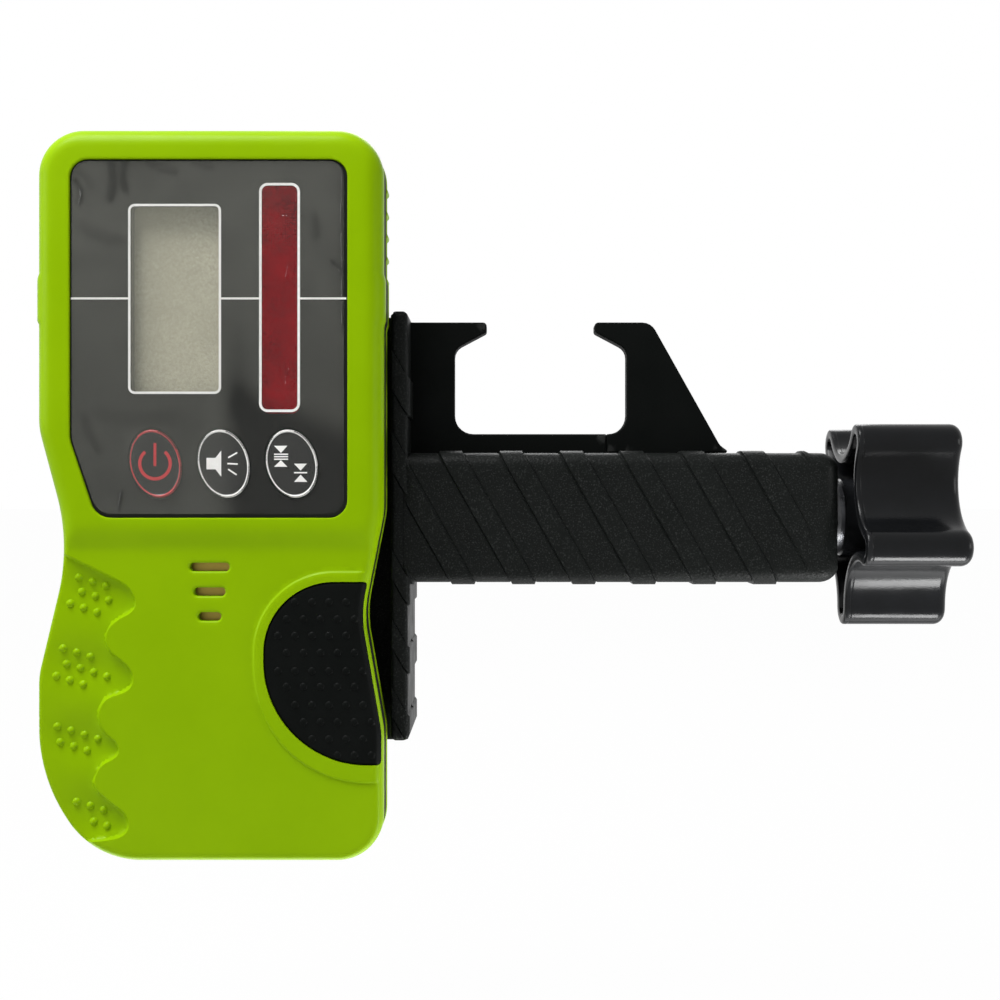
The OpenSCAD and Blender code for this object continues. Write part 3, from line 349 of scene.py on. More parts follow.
def moulded(name, low, high, rough, grainMm, bumpMm, cloudMm,
            wear=None, specular=0.5, metal=0.0, paintedSparkle=None):
    # base colour drifts between two shades, roughness breaks up, fine grain in the bump,
    # painted sparkle as light specks, and worn edges where asked
    material, tree, where = newMaterial(name)
    cloud = addNode(tree, "TexNoise", {
        "Vector": where, "Scale": perMm(cloudMm), "Detail": 4.0, "Roughness": 0.6})
    colour = addNode(tree, "ValToRGB", {"Fac": cloud.outputs["Fac"]})
    colour.color_ramp.elements[0].position = 0.3
    colour.color_ramp.elements[0].color = hexColor(low)
    colour.color_ramp.elements[1].position = 0.7
    colour.color_ramp.elements[1].color = hexColor(high)
    base = colour.outputs["Color"]
    if paintedSparkle:
        # painted sparkle: light points in the colour for the glints of the sparked texture, drawn at 0.34 mm
        # so that they show
        sparkleNoise = addNode(tree, "TexNoise", {"Vector": where, "Scale": perMm(0.34), "Detail": 1.0})
        peaks = addNode(tree, "MapRange", {
            "Value": sparkleNoise.outputs["Fac"], "From Min": 0.55, "From Max": 0.8})
        base = addNode(tree, "Mix", {
            "Factor": peaks.outputs["Result"], "A": base, "B": hexColor(paintedSparkle)},
            data_type="RGBA").outputs["Result"]
    if wear:
        edge = addNode(tree, "NewGeometry").outputs["Pointiness"]
        patch = addNode(tree, "TexNoise", {"Vector": where, "Scale": perMm(2.5), "Detail": 3.0})
        bare = addNode(tree, "MapRange", {"Value": edge, "From Min": 0.53, "From Max": 0.62})
        spots = addNode(tree, "Math", {0: bare.outputs["Result"], 1: patch.outputs["Fac"]},
                        operation="MULTIPLY")
        base = addNode(tree, "Mix", {
            "Factor": spots.outputs["Value"], "A": base, "B": hexColor(wear)},
            data_type="RGBA").outputs["Result"]
    smudge = addNode(tree, "TexNoise", {"Vector": where, "Scale": perMm(6), "Detail": 5.0})
    gloss = addNode(tree, "MapRange", {
        "Value": smudge.outputs["Fac"], "From Min": 0.3, "From Max": 0.7,
        "To Min": rough[0], "To Max": rough[1]})
    grain = addNode(tree, "TexNoise", {"Vector": where, "Scale": perMm(grainMm), "Detail": 2.0})
    bump = addNode(tree, "Bump", {
        "Height": grain.outputs["Fac"], "Strength": 0.6, "Distance": bumpMm * mm})
    shader = addNode(tree, "BsdfPrincipled", {
        "Base Color": base, "Roughness": gloss.outputs["Result"], "Normal": bump.outputs["Normal"],
        "Specular IOR Level": specular, "Metallic": metal})
    addNode(tree, "OutputMaterial", {"Surface": shader.outputs["BSDF"]})
    return material


# lime ABS with a satin mould finish: even, slightly waxy green with soft highlights
greenAbs = moulded("lime_abs_satin_moulded", "#84ab00", "#89b002", (0.3, 0.4),
                   grainMm=0.5, bumpMm=0.012, cloudMm=25, specular=0.06)
# soft moulded rubber: black without sheen, a little dusty
bandRubber = moulded("black_rubber_band_moulded", "#151615", "#1c1d1c", (0.55, 0.75),
                     grainMm=0.6, bumpMm=0.03, cloudMm=9, specular=0.05)
# back-printed polycarbonate: deep warm grey with a smooth gloss
panelFilm = moulded("printed_polycarbonate_panel", "#1c1d1a", "#20211e", (0.14, 0.22),
                    grainMm=0.8, bumpMm=0.004, cloudMm=22, specular=0.06)
# the same film embossed over the keys: a touch lighter, with a gloss that draws the dome
keyFilm = moulded("embossed_polycarbonate_key", "#1e1f1c", "#232421", (0.06, 0.12),
                  grainMm=0.8, bumpMm=0.003, cloudMm=8, specular=0.3)
# screen-printed ink: flat, opaque white lines with crisp edges
whiteInk = moulded("white_ink_screen_printed", "#f3f2ef", "#fcfbf9", (0.35, 0.5),
                   grainMm=0.4, bumpMm=0.006, cloudMm=4)
# the same ink in a warm signal red
redInk = moulded("red_ink_screen_printed", "#b3272c", "#c1343a", (0.3, 0.45),
                 grainMm=0.4, bumpMm=0.006, cloudMm=4)
# moulded white ABS: bright and a little creamy
whitePlastic = moulded("white_abs_moulded", "#d0cfc9", "#dad9d4", (0.4, 0.55),
                       grainMm=0.5, bumpMm=0.01, cloudMm=12)
# moulded grey ABS: a dull frame that makes the display look deep
lcdSurround = moulded("grey_abs_lining_moulded", "#5f5e53", "#67665b", (0.4, 0.55),
                      grainMm=0.5, bumpMm=0.01, cloudMm=8)
# cured solder mask: dark green lacquer with a low gloss
solderMask = moulded("green_solder_mask_cured", "#1f4a2b", "#28593a", (0.25, 0.4),
                     grainMm=0.8, bumpMm=0.01, cloudMm=5)
# moulded epoxy: nearly black and matt
darkChip = moulded("dark_epoxy_moulded", "#1b1b1d", "#242427", (0.4, 0.55),
                   grainMm=0.4, bumpMm=0.008, cloudMm=5)
# turned steel: bright, with small bands of light and dark
turnedSteel = moulded("turned_bright_steel", "#b9bbbd", "#d2d4d5", (0.16, 0.3),
                      grainMm=0.3, bumpMm=0.006, cloudMm=5, metal=1.0)
# dull plated steel: dark grey with one bright glint
darkSteel = moulded("dull_plated_steel", "#46474a", "#58595c", (0.22, 0.38),
                    grainMm=0.4, bumpMm=0.006, cloudMm=5, metal=1.0)
# black oxide on steel: charcoal, rubbed to bare metal on its edges
blackSteel = moulded("black_oxide_steel", "#1f2022", "#2b2c2e", (0.35, 0.5),
                     grainMm=0.4, bumpMm=0.008, cloudMm=4, wear="#77787a", metal=0.6)
# rolled brass sheet: muted yellow, half dulled by handling
sheetBrass = moulded("rolled_brass", "#b79a3a", "#c9ad50", (0.3, 0.45),
                     grainMm=0.5, bumpMm=0.005, cloudMm=6, metal=0.45)
# fired ceramic: chalky off-white
ceramic = moulded("fired_piezo_ceramic", "#d8d4c6", "#e3dfd3", (0.5, 0.65),
                  grainMm=0.4, bumpMm=0.006, cloudMm=5)
# moulded pad rubber: deep black, its dots just catch the light
padRubber = moulded("black_rubber_pad_moulded", "#080a09", "#0d0f0e", (0.38, 0.55),
                    grainMm=0.5, bumpMm=0.03, cloudMm=7, specular=0.04)
# steel can in a shrunk sleeve: plain grey with a metallic sheen
cellCan = moulded("sleeved_steel_can", "#5c6066", "#6b6f75", (0.25, 0.4),
                  grainMm=0.6, bumpMm=0.004, cloudMm=9, metal=0.4)
# glass filled nylon with a spark-eroded texture: flat black that sparkles a little at a low angle; that
# sparkle is painted into its colour as light specks
bracketNylon = moulded("black_nylon_spark_texture", "#0f1110", "#141615", (0.34, 0.48),
                       grainMm=0.55, bumpMm=0.2, cloudMm=14, wear="#242625", specular=0.06, paintedSparkle="#303231")
# powder coat: dead black, edges rubbed a little lighter
jawCoat = moulded("black_powder_coat", "#060807", "#0a0c0b", (0.5, 0.65),
                  grainMm=0.4, bumpMm=0.02, cloudMm=10, wear="#3a3b3a", specular=0.04)
# polished ABS moulding: black with long highlights, soft at their edges
knobGloss = moulded("black_abs_polished_moulded", "#0c0d0e", "#111214", (0.15, 0.24),
                    grainMm=0.4, bumpMm=0.03, cloudMm=8, wear="#2a2b2d", specular=0.14)


def clearWindow():
    # clear moulded polycarbonate: hardly there, a thin reflection over the display
    material, tree, where = newMaterial("clear_polycarbonate_window")
    smear = addNode(tree, "TexNoise", {"Vector": where, "Scale": perMm(9), "Detail": 4.0})
    gloss = addNode(tree, "MapRange", {
        "Value": smear.outputs["Fac"], "To Min": 0.04, "To Max": 0.16})
    shader = addNode(tree, "BsdfPrincipled", {
        "Base Color": hexColor("#c9cbb9"), "Alpha": 0.06, "Roughness": gloss.outputs["Result"],
        "Specular IOR Level": 0.2})
    addNode(tree, "OutputMaterial", {"Surface": shader.outputs["BSDF"]})
    return material


def hazyFilm():
    # blown polyethylene film: a thin uneven grey haze that is partly painted reflection of the surroundings,
    # and clear reflections that break into glints on its wrinkles
    material, tree, where = newMaterial("blown_polyethylene_film")
    amount = addNode(tree, "Attribute", attribute_name="hazeAndPaintedReflection").outputs["Fac"]
    cloud = addNode(tree, "TexNoise", {
        "Vector": where, "Scale": perMm(14), "Detail": 3.0, "Distortion": 0.8})
    uneven = addNode(tree, "MapRange", {
        "Value": cloud.outputs["Fac"], "From Min": 0.3, "From Max": 0.7, "To Min": 0.82, "To Max": 1.15})
    hazeAndPaintedReflection = addNode(tree, "Math", {0: amount, 1: uneven.outputs["Result"]}, operation="MULTIPLY")
    ripple = addNode(tree, "TexNoise", {"Vector": where, "Scale": perMm(9), "Detail": 2.0})
    bump = addNode(tree, "Bump", {
        "Height": ripple.outputs["Fac"], "Strength": 0.5, "Distance": 0.05 * mm})
    clear = addNode(tree, "BsdfTransparent", {"Color": hexColor("#ffffff")})
    # painted reflection: this grey diffuse stands partly for the surroundings mirrored in the film
    grey = addNode(tree, "BsdfDiffuse", {"Color": hexColor("#a5a69d")})
    veil = addNode(tree, "MixShader", {
        0: hazeAndPaintedReflection.outputs["Value"], 1: clear.outputs["BSDF"], 2: grey.outputs["BSDF"]})
    # the sheet is open, so its gloss goes by the angle alone: the same from both sides
    facing = addNode(tree, "LayerWeight", {"Blend": 0.5, "Normal": bump.outputs["Normal"]})
    steep = addNode(tree, "Math", {0: facing.outputs["Facing"], 1: 5.0}, operation="POWER")
    sheen = addNode(tree, "MapRange", {
        "Value": steep.outputs["Value"], "To Min": 0.014, "To Max": 1.0})
    glint = addNode(tree, "BsdfGlossy", {
        "Color": hexColor("#ffffff"), "Roughness": 0.08, "Normal": bump.outputs["Normal"]})
    both = addNode(tree, "MixShader", {
        0: sheen.outputs["Result"], 1: veil.outputs["Shader"], 2: glint.outputs["BSDF"]})
    addNode(tree, "OutputMaterial", {"Surface": both.outputs["Shader"]})
    return material


def lcdGlass():
    # display glass over a reflective backing: unlit warm grey green with a faint grain
    material, tree, where = newMaterial("reflective_lcd_glass")
    cloud = addNode(tree, "TexNoise", {"Vector": where, "Scale": perMm(16), "Detail": 3.0})
    # the real cells are finer than a pixel, so the grain is drawn coarser
    grain = addNode(tree, "TexNoise", {"Vector": where, "Scale": perMm(0.45), "Detail": 1.0})
    both = addNode(tree, "Math", {0: cloud.outputs["Fac"], 1: grain.outputs["Fac"]},
                   operation="MULTIPLY")
    colour = addNode(tree, "ValToRGB", {"Fac": both.outputs["Value"]})
    colour.color_ramp.elements[0].position = 0.15
    colour.color_ramp.elements[0].color = hexColor("#b4b09b")
    colour.color_ramp.elements[1].position = 0.4
    colour.color_ramp.elements[1].color = hexColor("#cac6b0")
    bump = addNode(tree, "Bump", {
        "Height": grain.outputs["Fac"], "Strength": 0.2, "Distance": 0.01 * mm})
    shader = addNode(tree, "BsdfPrincipled", {
        "Base Color": colour.outputs["Color"], "Roughness": 0.35, "Normal": bump.outputs["Normal"],
        "Specular IOR Level": 0.15})
    addNode(tree, "OutputMaterial", {"Surface": shader.outputs["BSDF"]})
    return material


def redFilter():
    # tinted acrylic filter: dark red, speckled by the fine mesh behind it
    material, tree, where = newMaterial("red_acrylic_filter_moulded")
    # the mesh is drawn at 0.5 mm, coarser than its real pitch, so that it shows
    dots = addNode(tree, "TexVoronoi", {
        "Vector": where, "Scale": perMm(0.5), "Randomness": 0.35}, feature="F1")
    cloud = addNode(tree, "TexNoise", {"Vector": where, "Scale": perMm(10), "Detail": 3.0})
    mix = addNode(tree, "Math", {0: dots.outputs["Distance"], 1: cloud.outputs["Fac"]},
                  operation="MULTIPLY")
    colour = addNode(tree, "ValToRGB", {"Fac": mix.outputs["Value"]})
    colour.color_ramp.elements[0].position = 0.05
    colour.color_ramp.elements[0].color = hexColor("#93171c")
    colour.color_ramp.elements[1].position = 0.42
    colour.color_ramp.elements[1].color = hexColor("#47090c")
    bump = addNode(tree, "Bump", {
        "Height": dots.outputs["Distance"], "Strength": 0.15, "Distance": 0.01 * mm})
    shader = addNode(tree, "BsdfPrincipled", {
        "Base Color": colour.outputs["Color"], "Roughness": 0.14, "Normal": bump.outputs["Normal"],
        "Specular IOR Level": 0.08})
    addNode(tree, "OutputMaterial", {"Surface": shader.outputs["BSDF"]})
    return material


windowClear = clearWindow()
filmHaze = hazyFilm()
lcdFace = lcdGlass()
redWindow = redFilter()
print("materials ready")

nodeLooks = {
    "lcd_window": windowClear, "lcd_glass": lcdFace, "lcd_holder": whitePlastic,
    "sensor_window": redWindow, "sensor_board": solderMask, "photodiodes": darkChip,
    "sensor_header": darkChip, "key_switches": darkChip, "main_board": solderMask,
    "board_screws": turnedSteel, "buzzer_plate": sheetBrass, "buzzer_ceramic": ceramic,
    "buzzer_springs": sheetBrass, "battery_cells": cellCan, "battery_contacts": turnedSteel,
    "door_pin": turnedSteel, "case_screws": blackSteel, "mount_insert": sheetBrass,
    "mount_washer": turnedSteel, "bracket_screws": blackSteel, "jaw_nut": turnedSteel,
    "jaw_rivets": turnedSteel, "lead_screw": turnedSteel, "end_bush": blackSteel,
    "thrust_washer": darkSteel, "retaining_ring": blackSteel,
}
for name, look in nodeLooks.items():
    nodes[name].data.materials.clear()
    nodes[name].data.materials.append(look)


# the receiver's outline, shared by both shells and the band between them
halfWide = 37.8
body = {
    "corners": [
        [halfWide, 0, 10], [halfWide, 28.6, 14], [33.4, 54, 25], [halfWide, 76.4, 16],
        [halfWide, 160, 10], [-halfWide, 160, 10], [-halfWide, 94.6, 16], [-31, 69.2, 44],
        [-halfWide, 40.6, 18], [-halfWide, 18.8, 36.5], [-25.9, 0, 19.5],
    ],
    "refZ": 122.8, "markHalf": 5.1, "markProud": 0.4, "markReach": 2.2,
    "seamFront": 5.2, "seamBack": 12.2, "back": 32.0,
}
panel = {
    "corners": [[30.2, 75.1, 4], [30.2, 153.1, 4], [-30.2, 153.1, 4], [-30.2, 92.1, 8], [-24.5, 75.1, 4.5]],
    "top": 0.9, "under": 1.4, "fit": 0.1, "edgeRound": 0.15,
    "lcd": boxCorners(-16.95, 2.55, 102.3, 143.3, 1.3),
    "sensor": boxCorners(11.45, 19.75, 97.8, 147.8, 1.6),
    "keys": [-11.55, 3.25, 18.05], "keyZ": 86.9, "keyHalf": (5.6, 7.65), "keyGap": 0.25, "lean": 14.75,
}
bodyLoop = outline(body["corners"])
panelLoop = outline(panel["corners"], 0, 0.6)


def markShift(points):
    # the raised reference marks on both sides
    out = points.copy()
    high = np.abs(points[:, 2] - body["refZ"])
    height = body["markProud"] * (1 - ramp(high, body["markHalf"] - 0.5, body["markHalf"] + 0.5))
    reach = 1 - ramp(halfWide - np.abs(points[:, 0]), 0.1, body["markReach"])
    out[:, 0] += np.sign(points[:, 0]) * height * reach
    return out


# front shell: one net of triangles with the rim, grip, slots and pad lip as real depth
shell = {
    "rim": 4.5, "rimRings": (0.06, 0.2, 0.45, 0.8, 1.3, 1.9, 2.6, 3.4, 4.3),
    "step": 1.4, "stepLow": 67.5, "stepHigh": 74.0, "wall": 4.0, "thinnest": 0.3, "seat": 2.3,
    "slots": [(64.4, 8.7), (59.0, 6.9), (53.6, 5.05)], "slotHigh": 1.85, "slotRound": 0.9,
    "slotLip": 0.55, "panelLip": 0.35,
    # the edge of the finger scoops, from the top down
    "crease": [
        (-34.0, 68.0), (-30.8, 66.9), (-24.8, 64.1), (-19.2, 61.3), (-17.1, 59.5), (-15.8, 56.7),
        (-16.4, 55.1), (-17.7, 54.0), (-19.5, 53.2), (-22.0, 51.0), (-22.5, 48.7), (-21.8, 46.4),
        (-18.4, 43.6), (-16.8, 41.6), (-16.6, 39.0), (-17.7, 37.5), (-19.2, 36.8), (-22.5, 35.6),
        (-24.1, 32.5), (-23.1, 28.9), (-20.2, 26.4), (-19.5, 24.8), (-19.7, 23.6), (-20.7, 22.6),
        (-23.6, 21.1), (-25.0, 17.9), (-24.6, 16.1), (-21.0, 13.0), (-18.2, 10.7), (-17.4, 8.4),
        (-17.8, 6.9), (-19.0, 5.7), (-21.0, 5.1), (-24.8, 4.6), (-30.0, 4.0),
    ],
    "creaseDeep": 1.05, "creaseWide": 0.45, "creaseSmooth": 16,
    "bowls": [(-25.0, 58.8), (-27.0, 42.4), (-28.0, 26.4), (-24.5, 10.2)],
    "bowlDeep": 0.75, "bowlHalf": (7.5, 4.6), "bowlLean": -17,
    # rows of grip dots: the first dot and how many
    "dotRows": [
        (-28.8, 62.1, 3), (-28.2, 58.95, 3), (-30.65, 56.4, 3), (-32.2, 46.6, 3), (-31.5, 43.2, 4),
        (-33.7, 40.6, 3), (-33.5, 29.5, 4), (-32.9, 26.1, 3), (-29.3, 13.05, 3), (-25.6, 8.7, 2),
    ],
    "dotStep": (2.93, -0.92), "dotRadius": 0.78, "dotProud": 0.6,
    "dotRings": ((0.01, 1), (0.36, 8), (0.6, 12), (0.75, 14), (0.9, 14)),
    "lipProud": 0.45, "lipWide": 2.4, "lipWiden": 1.5,
}
pad = {
    "x": 11.8, "low": 21.2, "high": 61.2, "roundLow": 22.6, "roundHigh": 15.4,
    "top": 1.1, "under": 3.4, "gap": 0.55, "fit": 0.12, "rimRound": 0.8,
    "dotRowZ": [56.8, 53.1, 49.5, 45.8, 41.8, 38.4, 34.4, 30.7, 27.0, 23.5],
    "dotX": 15.0, "dotPitch": 3.7, "dotMargin": 1.2, "dotRadius": 0.85, "dotProud": 0.28,
    "dotRings": ((0.01, 1), (0.4, 8), (0.7, 12), (0.86, 14), (1.05, 14)),
}


def padOutline(gap):
    # arcs on the left, the receiver's own waist on the right
    far = 60
    corners = [[far, pad["low"], 1], [far, pad["high"], 1]]
    corners += [[pad["x"], pad["high"], pad["roundHigh"]], [pad["x"], pad["low"], pad["roundLow"]]]
    left = outline(corners, 0, 0.4)
    side = outline(body["corners"], gap, 0.4)
    side = side[(side[:, 0] > 0) & (side[:, 1] > pad["low"] + 0.1) & (side[:, 1] < pad["high"] - 0.1)]
    side = side[np.argsort(side[:, 1])]
    edge = np.interp(left[:, 1], side[:, 1], side[:, 0])
    left = left[left[:, 0] < edge - 0.3]
    # the loop starts where the upper edge meets the waist
    upper = left[:, 1] > (pad["low"] + pad["high"]) / 2
    start = np.argmax(np.where(upper, left[:, 0], -far))
    left = np.roll(left, -start, 0)
    return smoothLoop(np.vstack([left, side]), 0.4, 0.42)


padLoop = padOutline(pad["gap"])
bedLoop = padOutline(pad["gap"] - pad["fit"])
slotLoops = []
for z, wide in shell["slots"]:
    half = shell["slotHigh"] / 2
    slotLoops.append(outline(boxCorners(-wide / 2, wide / 2, z - half, z + half, shell["slotRound"]), 0, 0.3))
crease = curve(shell["crease"], 0.3)
for k in range(shell["creaseSmooth"]):
    crease[1:-1] = 0.25 * crease[:-2] + 0.5 * crease[1:-1] + 0.25 * crease[2:]
dots = np.array([(x + k * shell["dotStep"][0], z + k * shell["dotStep"][1])
                 for x, z, count in shell["dotRows"] for k in range(count)])


def roundOver(d, r):
    # depth of an edge of radius r at a distance d from it
    t = np.clip(d, 0, r)
    return r - np.sqrt(np.maximum(r * r - (r - t) ** 2, 0))


def dotRise(flat, spots, radius, proud):
    near = np.min(np.hypot(flat[:, 0:1] - spots[:, 0], flat[:, 1:2] - spots[:, 1]), axis=1)
    return proud * np.sqrt(np.clip(1 - (near / radius) ** 2, 0, 1))


def lipWide(z):
    # the raised lip round the pad is wider towards its lower tip
    return shell["lipWide"] + shell["lipWiden"] * (1 - ramp(z, 18, 42))


def shellDepth(flat):
    x, z = flat[:, 0], flat[:, 1]
    edge = distance(flat, bodyLoop)
    face = shell["step"] * (1 - ramp(z, shell["stepLow"], shell["stepHigh"]))
    region = np.vstack([crease, [(-60, 2.0), (-60, 70)]])
    grip = np.where(inside(flat, region), 1.0, -1.0) * distance(flat, crease, closed=False)
    face = face + shell["creaseDeep"] * ramp(grip, -0.1, shell["creaseWide"])
    lean = math.radians(shell["bowlLean"])
    for bx, bz in shell["bowls"]:
        a = (x - bx) * math.cos(lean) + (z - bz) * math.sin(lean)
        b = -(x - bx) * math.sin(lean) + (z - bz) * math.cos(lean)
        bowl = np.exp(-(a / shell["bowlHalf"][0]) ** 2 - (b / shell["bowlHalf"][1]) ** 2)
        face = face + shell["bowlDeep"] * bowl * ramp(grip, -0.1, 2.0)
    wide = lipWide(z)
    lip = 1 - ramp(distance(flat, bedLoop), wide - 0.5, wide)
    face = face - shell["lipProud"] * lip * ramp(x, 4, 9)
    for loop in slotLoops:
        face = face + roundOver(distance(flat, loop), shell["slotLip"])
    face = face + roundOver(distance(flat, panelLoop), shell["panelLip"])
    depth = deeper(face, roundOver(edge, shell["rim"]), 0.7)
    return depth - dotRise(flat, dots, shell["dotRadius"], shell["dotProud"]), edge


def netPoints(loops, features, grids):
    # feature points first, then grid points that keep clear of them
    tree = KDTree(sum(len(f) for f in [*loops, *features]))
    for i, p in enumerate(np.vstack([*loops, *features])):
        tree.insert((p[0], p[1], 0), i)
    tree.balance()
    extra = [*features]
    for grid, gap in grids:
        extra.append(np.array([p for p in grid if tree.find((p[0], p[1], 0))[2] > gap]).reshape(-1, 2))
    points = np.vstack(extra)
    keep = inside(points, loops[0]) & (distance(points, loops[0]) > 0.05)
    for hole in loops[1:]:
        keep &= ~inside(points, hole) & (distance(points, hole) > 0.05)
    return points[keep]


def besideLine(line, offsets):
    run = np.gradient(line, axis=0)
    run /= np.maximum(np.linalg.norm(run, axis=1), 1e-9)[:, None]
    across = np.stack([-run[:, 1], run[:, 0]], 1)
    return [line + k * across for k in offsets]


def squareGrid(x0, x1, z0, z1, step):
    gx, gz = np.meshgrid(np.arange(x0, x1, step), np.arange(z0, z1, step))
    gx[1::2] += step / 2
    return np.stack([gx.ravel(), gz.ravel()], 1)


shellLoops = [bodyLoop, panelLoop, bedLoop, *slotLoops]
rimRings = [outline(body["corners"], inset) for inset in shell["rimRings"]]
dotRings = [circle(x, z, r, count) for x, z in dots for r, count in shell["dotRings"]]
creaseRings = besideLine(crease, (-0.12, 0.05, 0.3, 0.55, 0.9))
lipRings = []
for loop in slotLoops + [panelLoop, bedLoop]:
    lipRings += besideLine(np.vstack([loop, loop[:1]]), (-0.12, -0.3, -0.55))
bedRun = np.vstack([bedLoop, bedLoop[:1]])
outward = besideLine(bedRun, (-1.0,))[0] - bedRun
for away in (-0.55, -0.35, -0.15, 0.08):
    lipRings.append(bedRun + outward * (lipWide(bedRun[:, 1]) + away)[:, None])
# finest over the grip, coarsest beside the panel
grids = [
    (squareGrid(-38, -14, 1, 69, 0.55), 0.3),
    (squareGrid(-14, 38, 0, 75, 0.9), 0.4),
    (squareGrid(-38, 38, 69, 160, 1.6), 0.6),
]
extra = netPoints(shellLoops, rimRings + dotRings + lipRings + creaseRings, grids)
flat, faces = fill(shellLoops, extra)
depth, edge = shellDepth(flat)
under = np.where(edge < shell["seat"], body["seamFront"], shell["wall"])
points, faces = thicken(flat, faces, depth, np.maximum(under, depth + shell["thinnest"]))
addPiece("front_shell_skin", (markShift(points), faces), greenAbs, "receiver",
         ["front_shell"], 38)
print("front shell,", len(flat), "points")


# rubber band between the shells: rounded at both seams, with a faint crown
band = {"lip": [(0.0, 0.55), (0.25, 0.3), (1.0, 0.12)], "crown": 0.06, "inner": 2.2}
seamFront, seamBack = body["seamFront"], body["seamBack"]
bandRows = [(seamFront + a, inset) for a, inset in band["lip"]]
bandRows += [((seamFront + seamBack) / 2, band["crown"])]
bandRows += [(seamBack - a, inset) for a, inset in reversed(band["lip"])]
bandRows += [(seamBack, band["inner"]), (seamFront, band["inner"]), bandRows[0]]
bandRings = [markShift(atDepth(outline(body["corners"], inset), y)) for y, inset in bandRows]
addPiece("case_band_ring", skin(bandRings, caps=False), bandRubber, "receiver",
         ["case_band"], 40)

# rear shell: drawn as a loft, then the bay, door rebate, screw pockets and mount hole are carved
rear = {
    # the seam's edge: distance behind the seam and inset
    "edge": [(0.8, 2.2), (0.0, 2.2), (0.0, 0.35), (0.15, 0.1), (0.4, 0.0), (1.2, 0.0)],
    "draft": 1.6, "round": 5.0, "markEnd": 16, "past": 34, "gap": 0.3,
    "screws": [(-29.5, 151.5), (29.5, 151.5), (28.5, 9.5), (-19.5, 6.0)], "screwY": 29, "screwR": 2.6,
    # bay: left, right, depth, low and high; door: left, right and low; hinge: depth, height and radius
    "bay": (-19.75, 11.75, 13.7, 13.0, 67.05), "door": (-24.25, 16.25, 10.5), "rebate": 30.6,
    "hinge": (30.4, 70.05, 1.6), "lidRoom": 0.6, "notch": (-10, 2), "notchLow": 2.5,
    "mountZ": 105.0, "mountY": 21, "mountR": 4.6,
    "ribX": 37.1, "ribZ": 123.3, "ribPitch": 5.05, "ribCount": 5,
    "ribProfile": [(12.2, 0.7), (12.4, 0.9), (16.6, 0.9), (17.2, 0.4)],
}
rows = [(seamBack + a, inset) for a, inset in rear["edge"]]
wallStart, wallEnd = rows[-1][0], body["back"] - rear["round"]
rows += [(wallStart + k * (wallEnd - wallStart) / 6, rear["draft"] * k / 6) for k in range(1, 7)]
for a in np.radians(np.linspace(9, 90, 10)):
    rows.append((wallEnd + rear["round"] * math.sin(a), rear["draft"] + rear["round"] * (1 - math.cos(a))))
rearRings = []
for y, inset in rows:
    ring = atDepth(outline(body["corners"], inset, 1.2), y)
    rearRings.append(markShift(ring) if y < rear["markEnd"] else ring)
doorLeft, doorRight, doorLow = rear["door"]
bayLeft, bayRight, bayDeep, bayLow, bayHigh = rear["bay"]
hingeY, hingeZ, hingeR = rear["hinge"]
past, gap = rear["past"], rear["gap"]
cutters = [
    # the opened lid tips up past its hinge, so the rebate goes a little higher
    block(doorLeft - gap, doorRight + gap, rear["rebate"], past,
          doorLow - gap, hingeZ + hingeR + rear["lidRoom"]),
    lathe([(doorLeft - gap, hingeR + gap), (doorRight + gap, hingeR + gap)], "x", (0, hingeY, hingeZ)),
    block(bayLeft, bayRight, bayDeep, past, bayLow, bayHigh),
    block(*rear["notch"], rear["rebate"], past, doorLow - rear["notchLow"], doorLow + 1),
    lathe([(rear["mountY"], rear["mountR"]), (past, rear["mountR"])], "y", (0, 0, rear["mountZ"])),
]
for x, z in rear["screws"]:
    cutters.append(lathe([(rear["screwY"], rear["screwR"]), (past, rear["screwR"])], "y", (x, 0, z)))
rearSolid = carve(skin(rearRings), cutters)
ribs = []
for side in (-1, 1):
    for k in range(1, rear["ribCount"] + 1):
        spot = (side * rear["ribX"], 0, rear["ribZ"] + rear["ribPitch"] * k)
        ribs.append(lathe(rear["ribProfile"], "y", spot, 20))
addPiece("rear_shell_skin", join(rearSolid, *ribs), greenAbs, "receiver", ["rear_shell"], 38)

# battery door: bevelled lid with grip ribs, its hinge barrel and a snap tongue
door = {
    "front": 30.7, "back": 32.0, "bevel": 0.35, "round": 0.8, "barrelGap": 0.4, "barrelEnd": 1.3,
    "ribs": 4, "ribX": (-11, 3), "ribLow": 5, "ribPitch": 2.5, "ribProud": 0.5,
    "tongueIn": 1.5, "tongue": (29.1, 31.0),
}
lid = plate(boxCorners(doorLeft, doorRight, doorLow, hingeZ - door["barrelGap"], door["round"]),
            door["front"], door["back"], door["bevel"], 1.5)
barrel = lathe([(doorLeft, door["barrelEnd"]), (doorLeft + 0.3, hingeR),
                (doorRight - 0.3, hingeR), (doorRight, door["barrelEnd"])], "x", (0, hingeY, hingeZ), 32)
doorRibs = []
for k in range(door["ribs"]):
    low = doorLow + door["ribLow"] + door["ribPitch"] * k
    rib = boxCorners(*door["ribX"], low, low + 1, 0.45)
    doorRibs.append(plate(rib, door["back"] - 0.3, door["back"] + door["ribProud"], 0.3, 0.5))
within = door["tongueIn"]
tongueCorners = boxCorners(bayLeft + within, bayRight - within, bayLow + 1, bayLow + 2.5, 0.4)
tongue = plate(tongueCorners, *door["tongue"], 0.2, 1.0)
addPiece("battery_door_lid", join(lid, barrel, tongue, *doorRibs), greenAbs, "door",
         ["battery_door"], 38)
print("rear shell and door")


# printed panel with openings for the display, sensor and keys
def keyOval(x, share=1.0, grow=0.0):
    across, tall = panel["keyHalf"]
    return oval(x, panel["keyZ"], across * share + grow, tall * share + grow, panel["lean"])


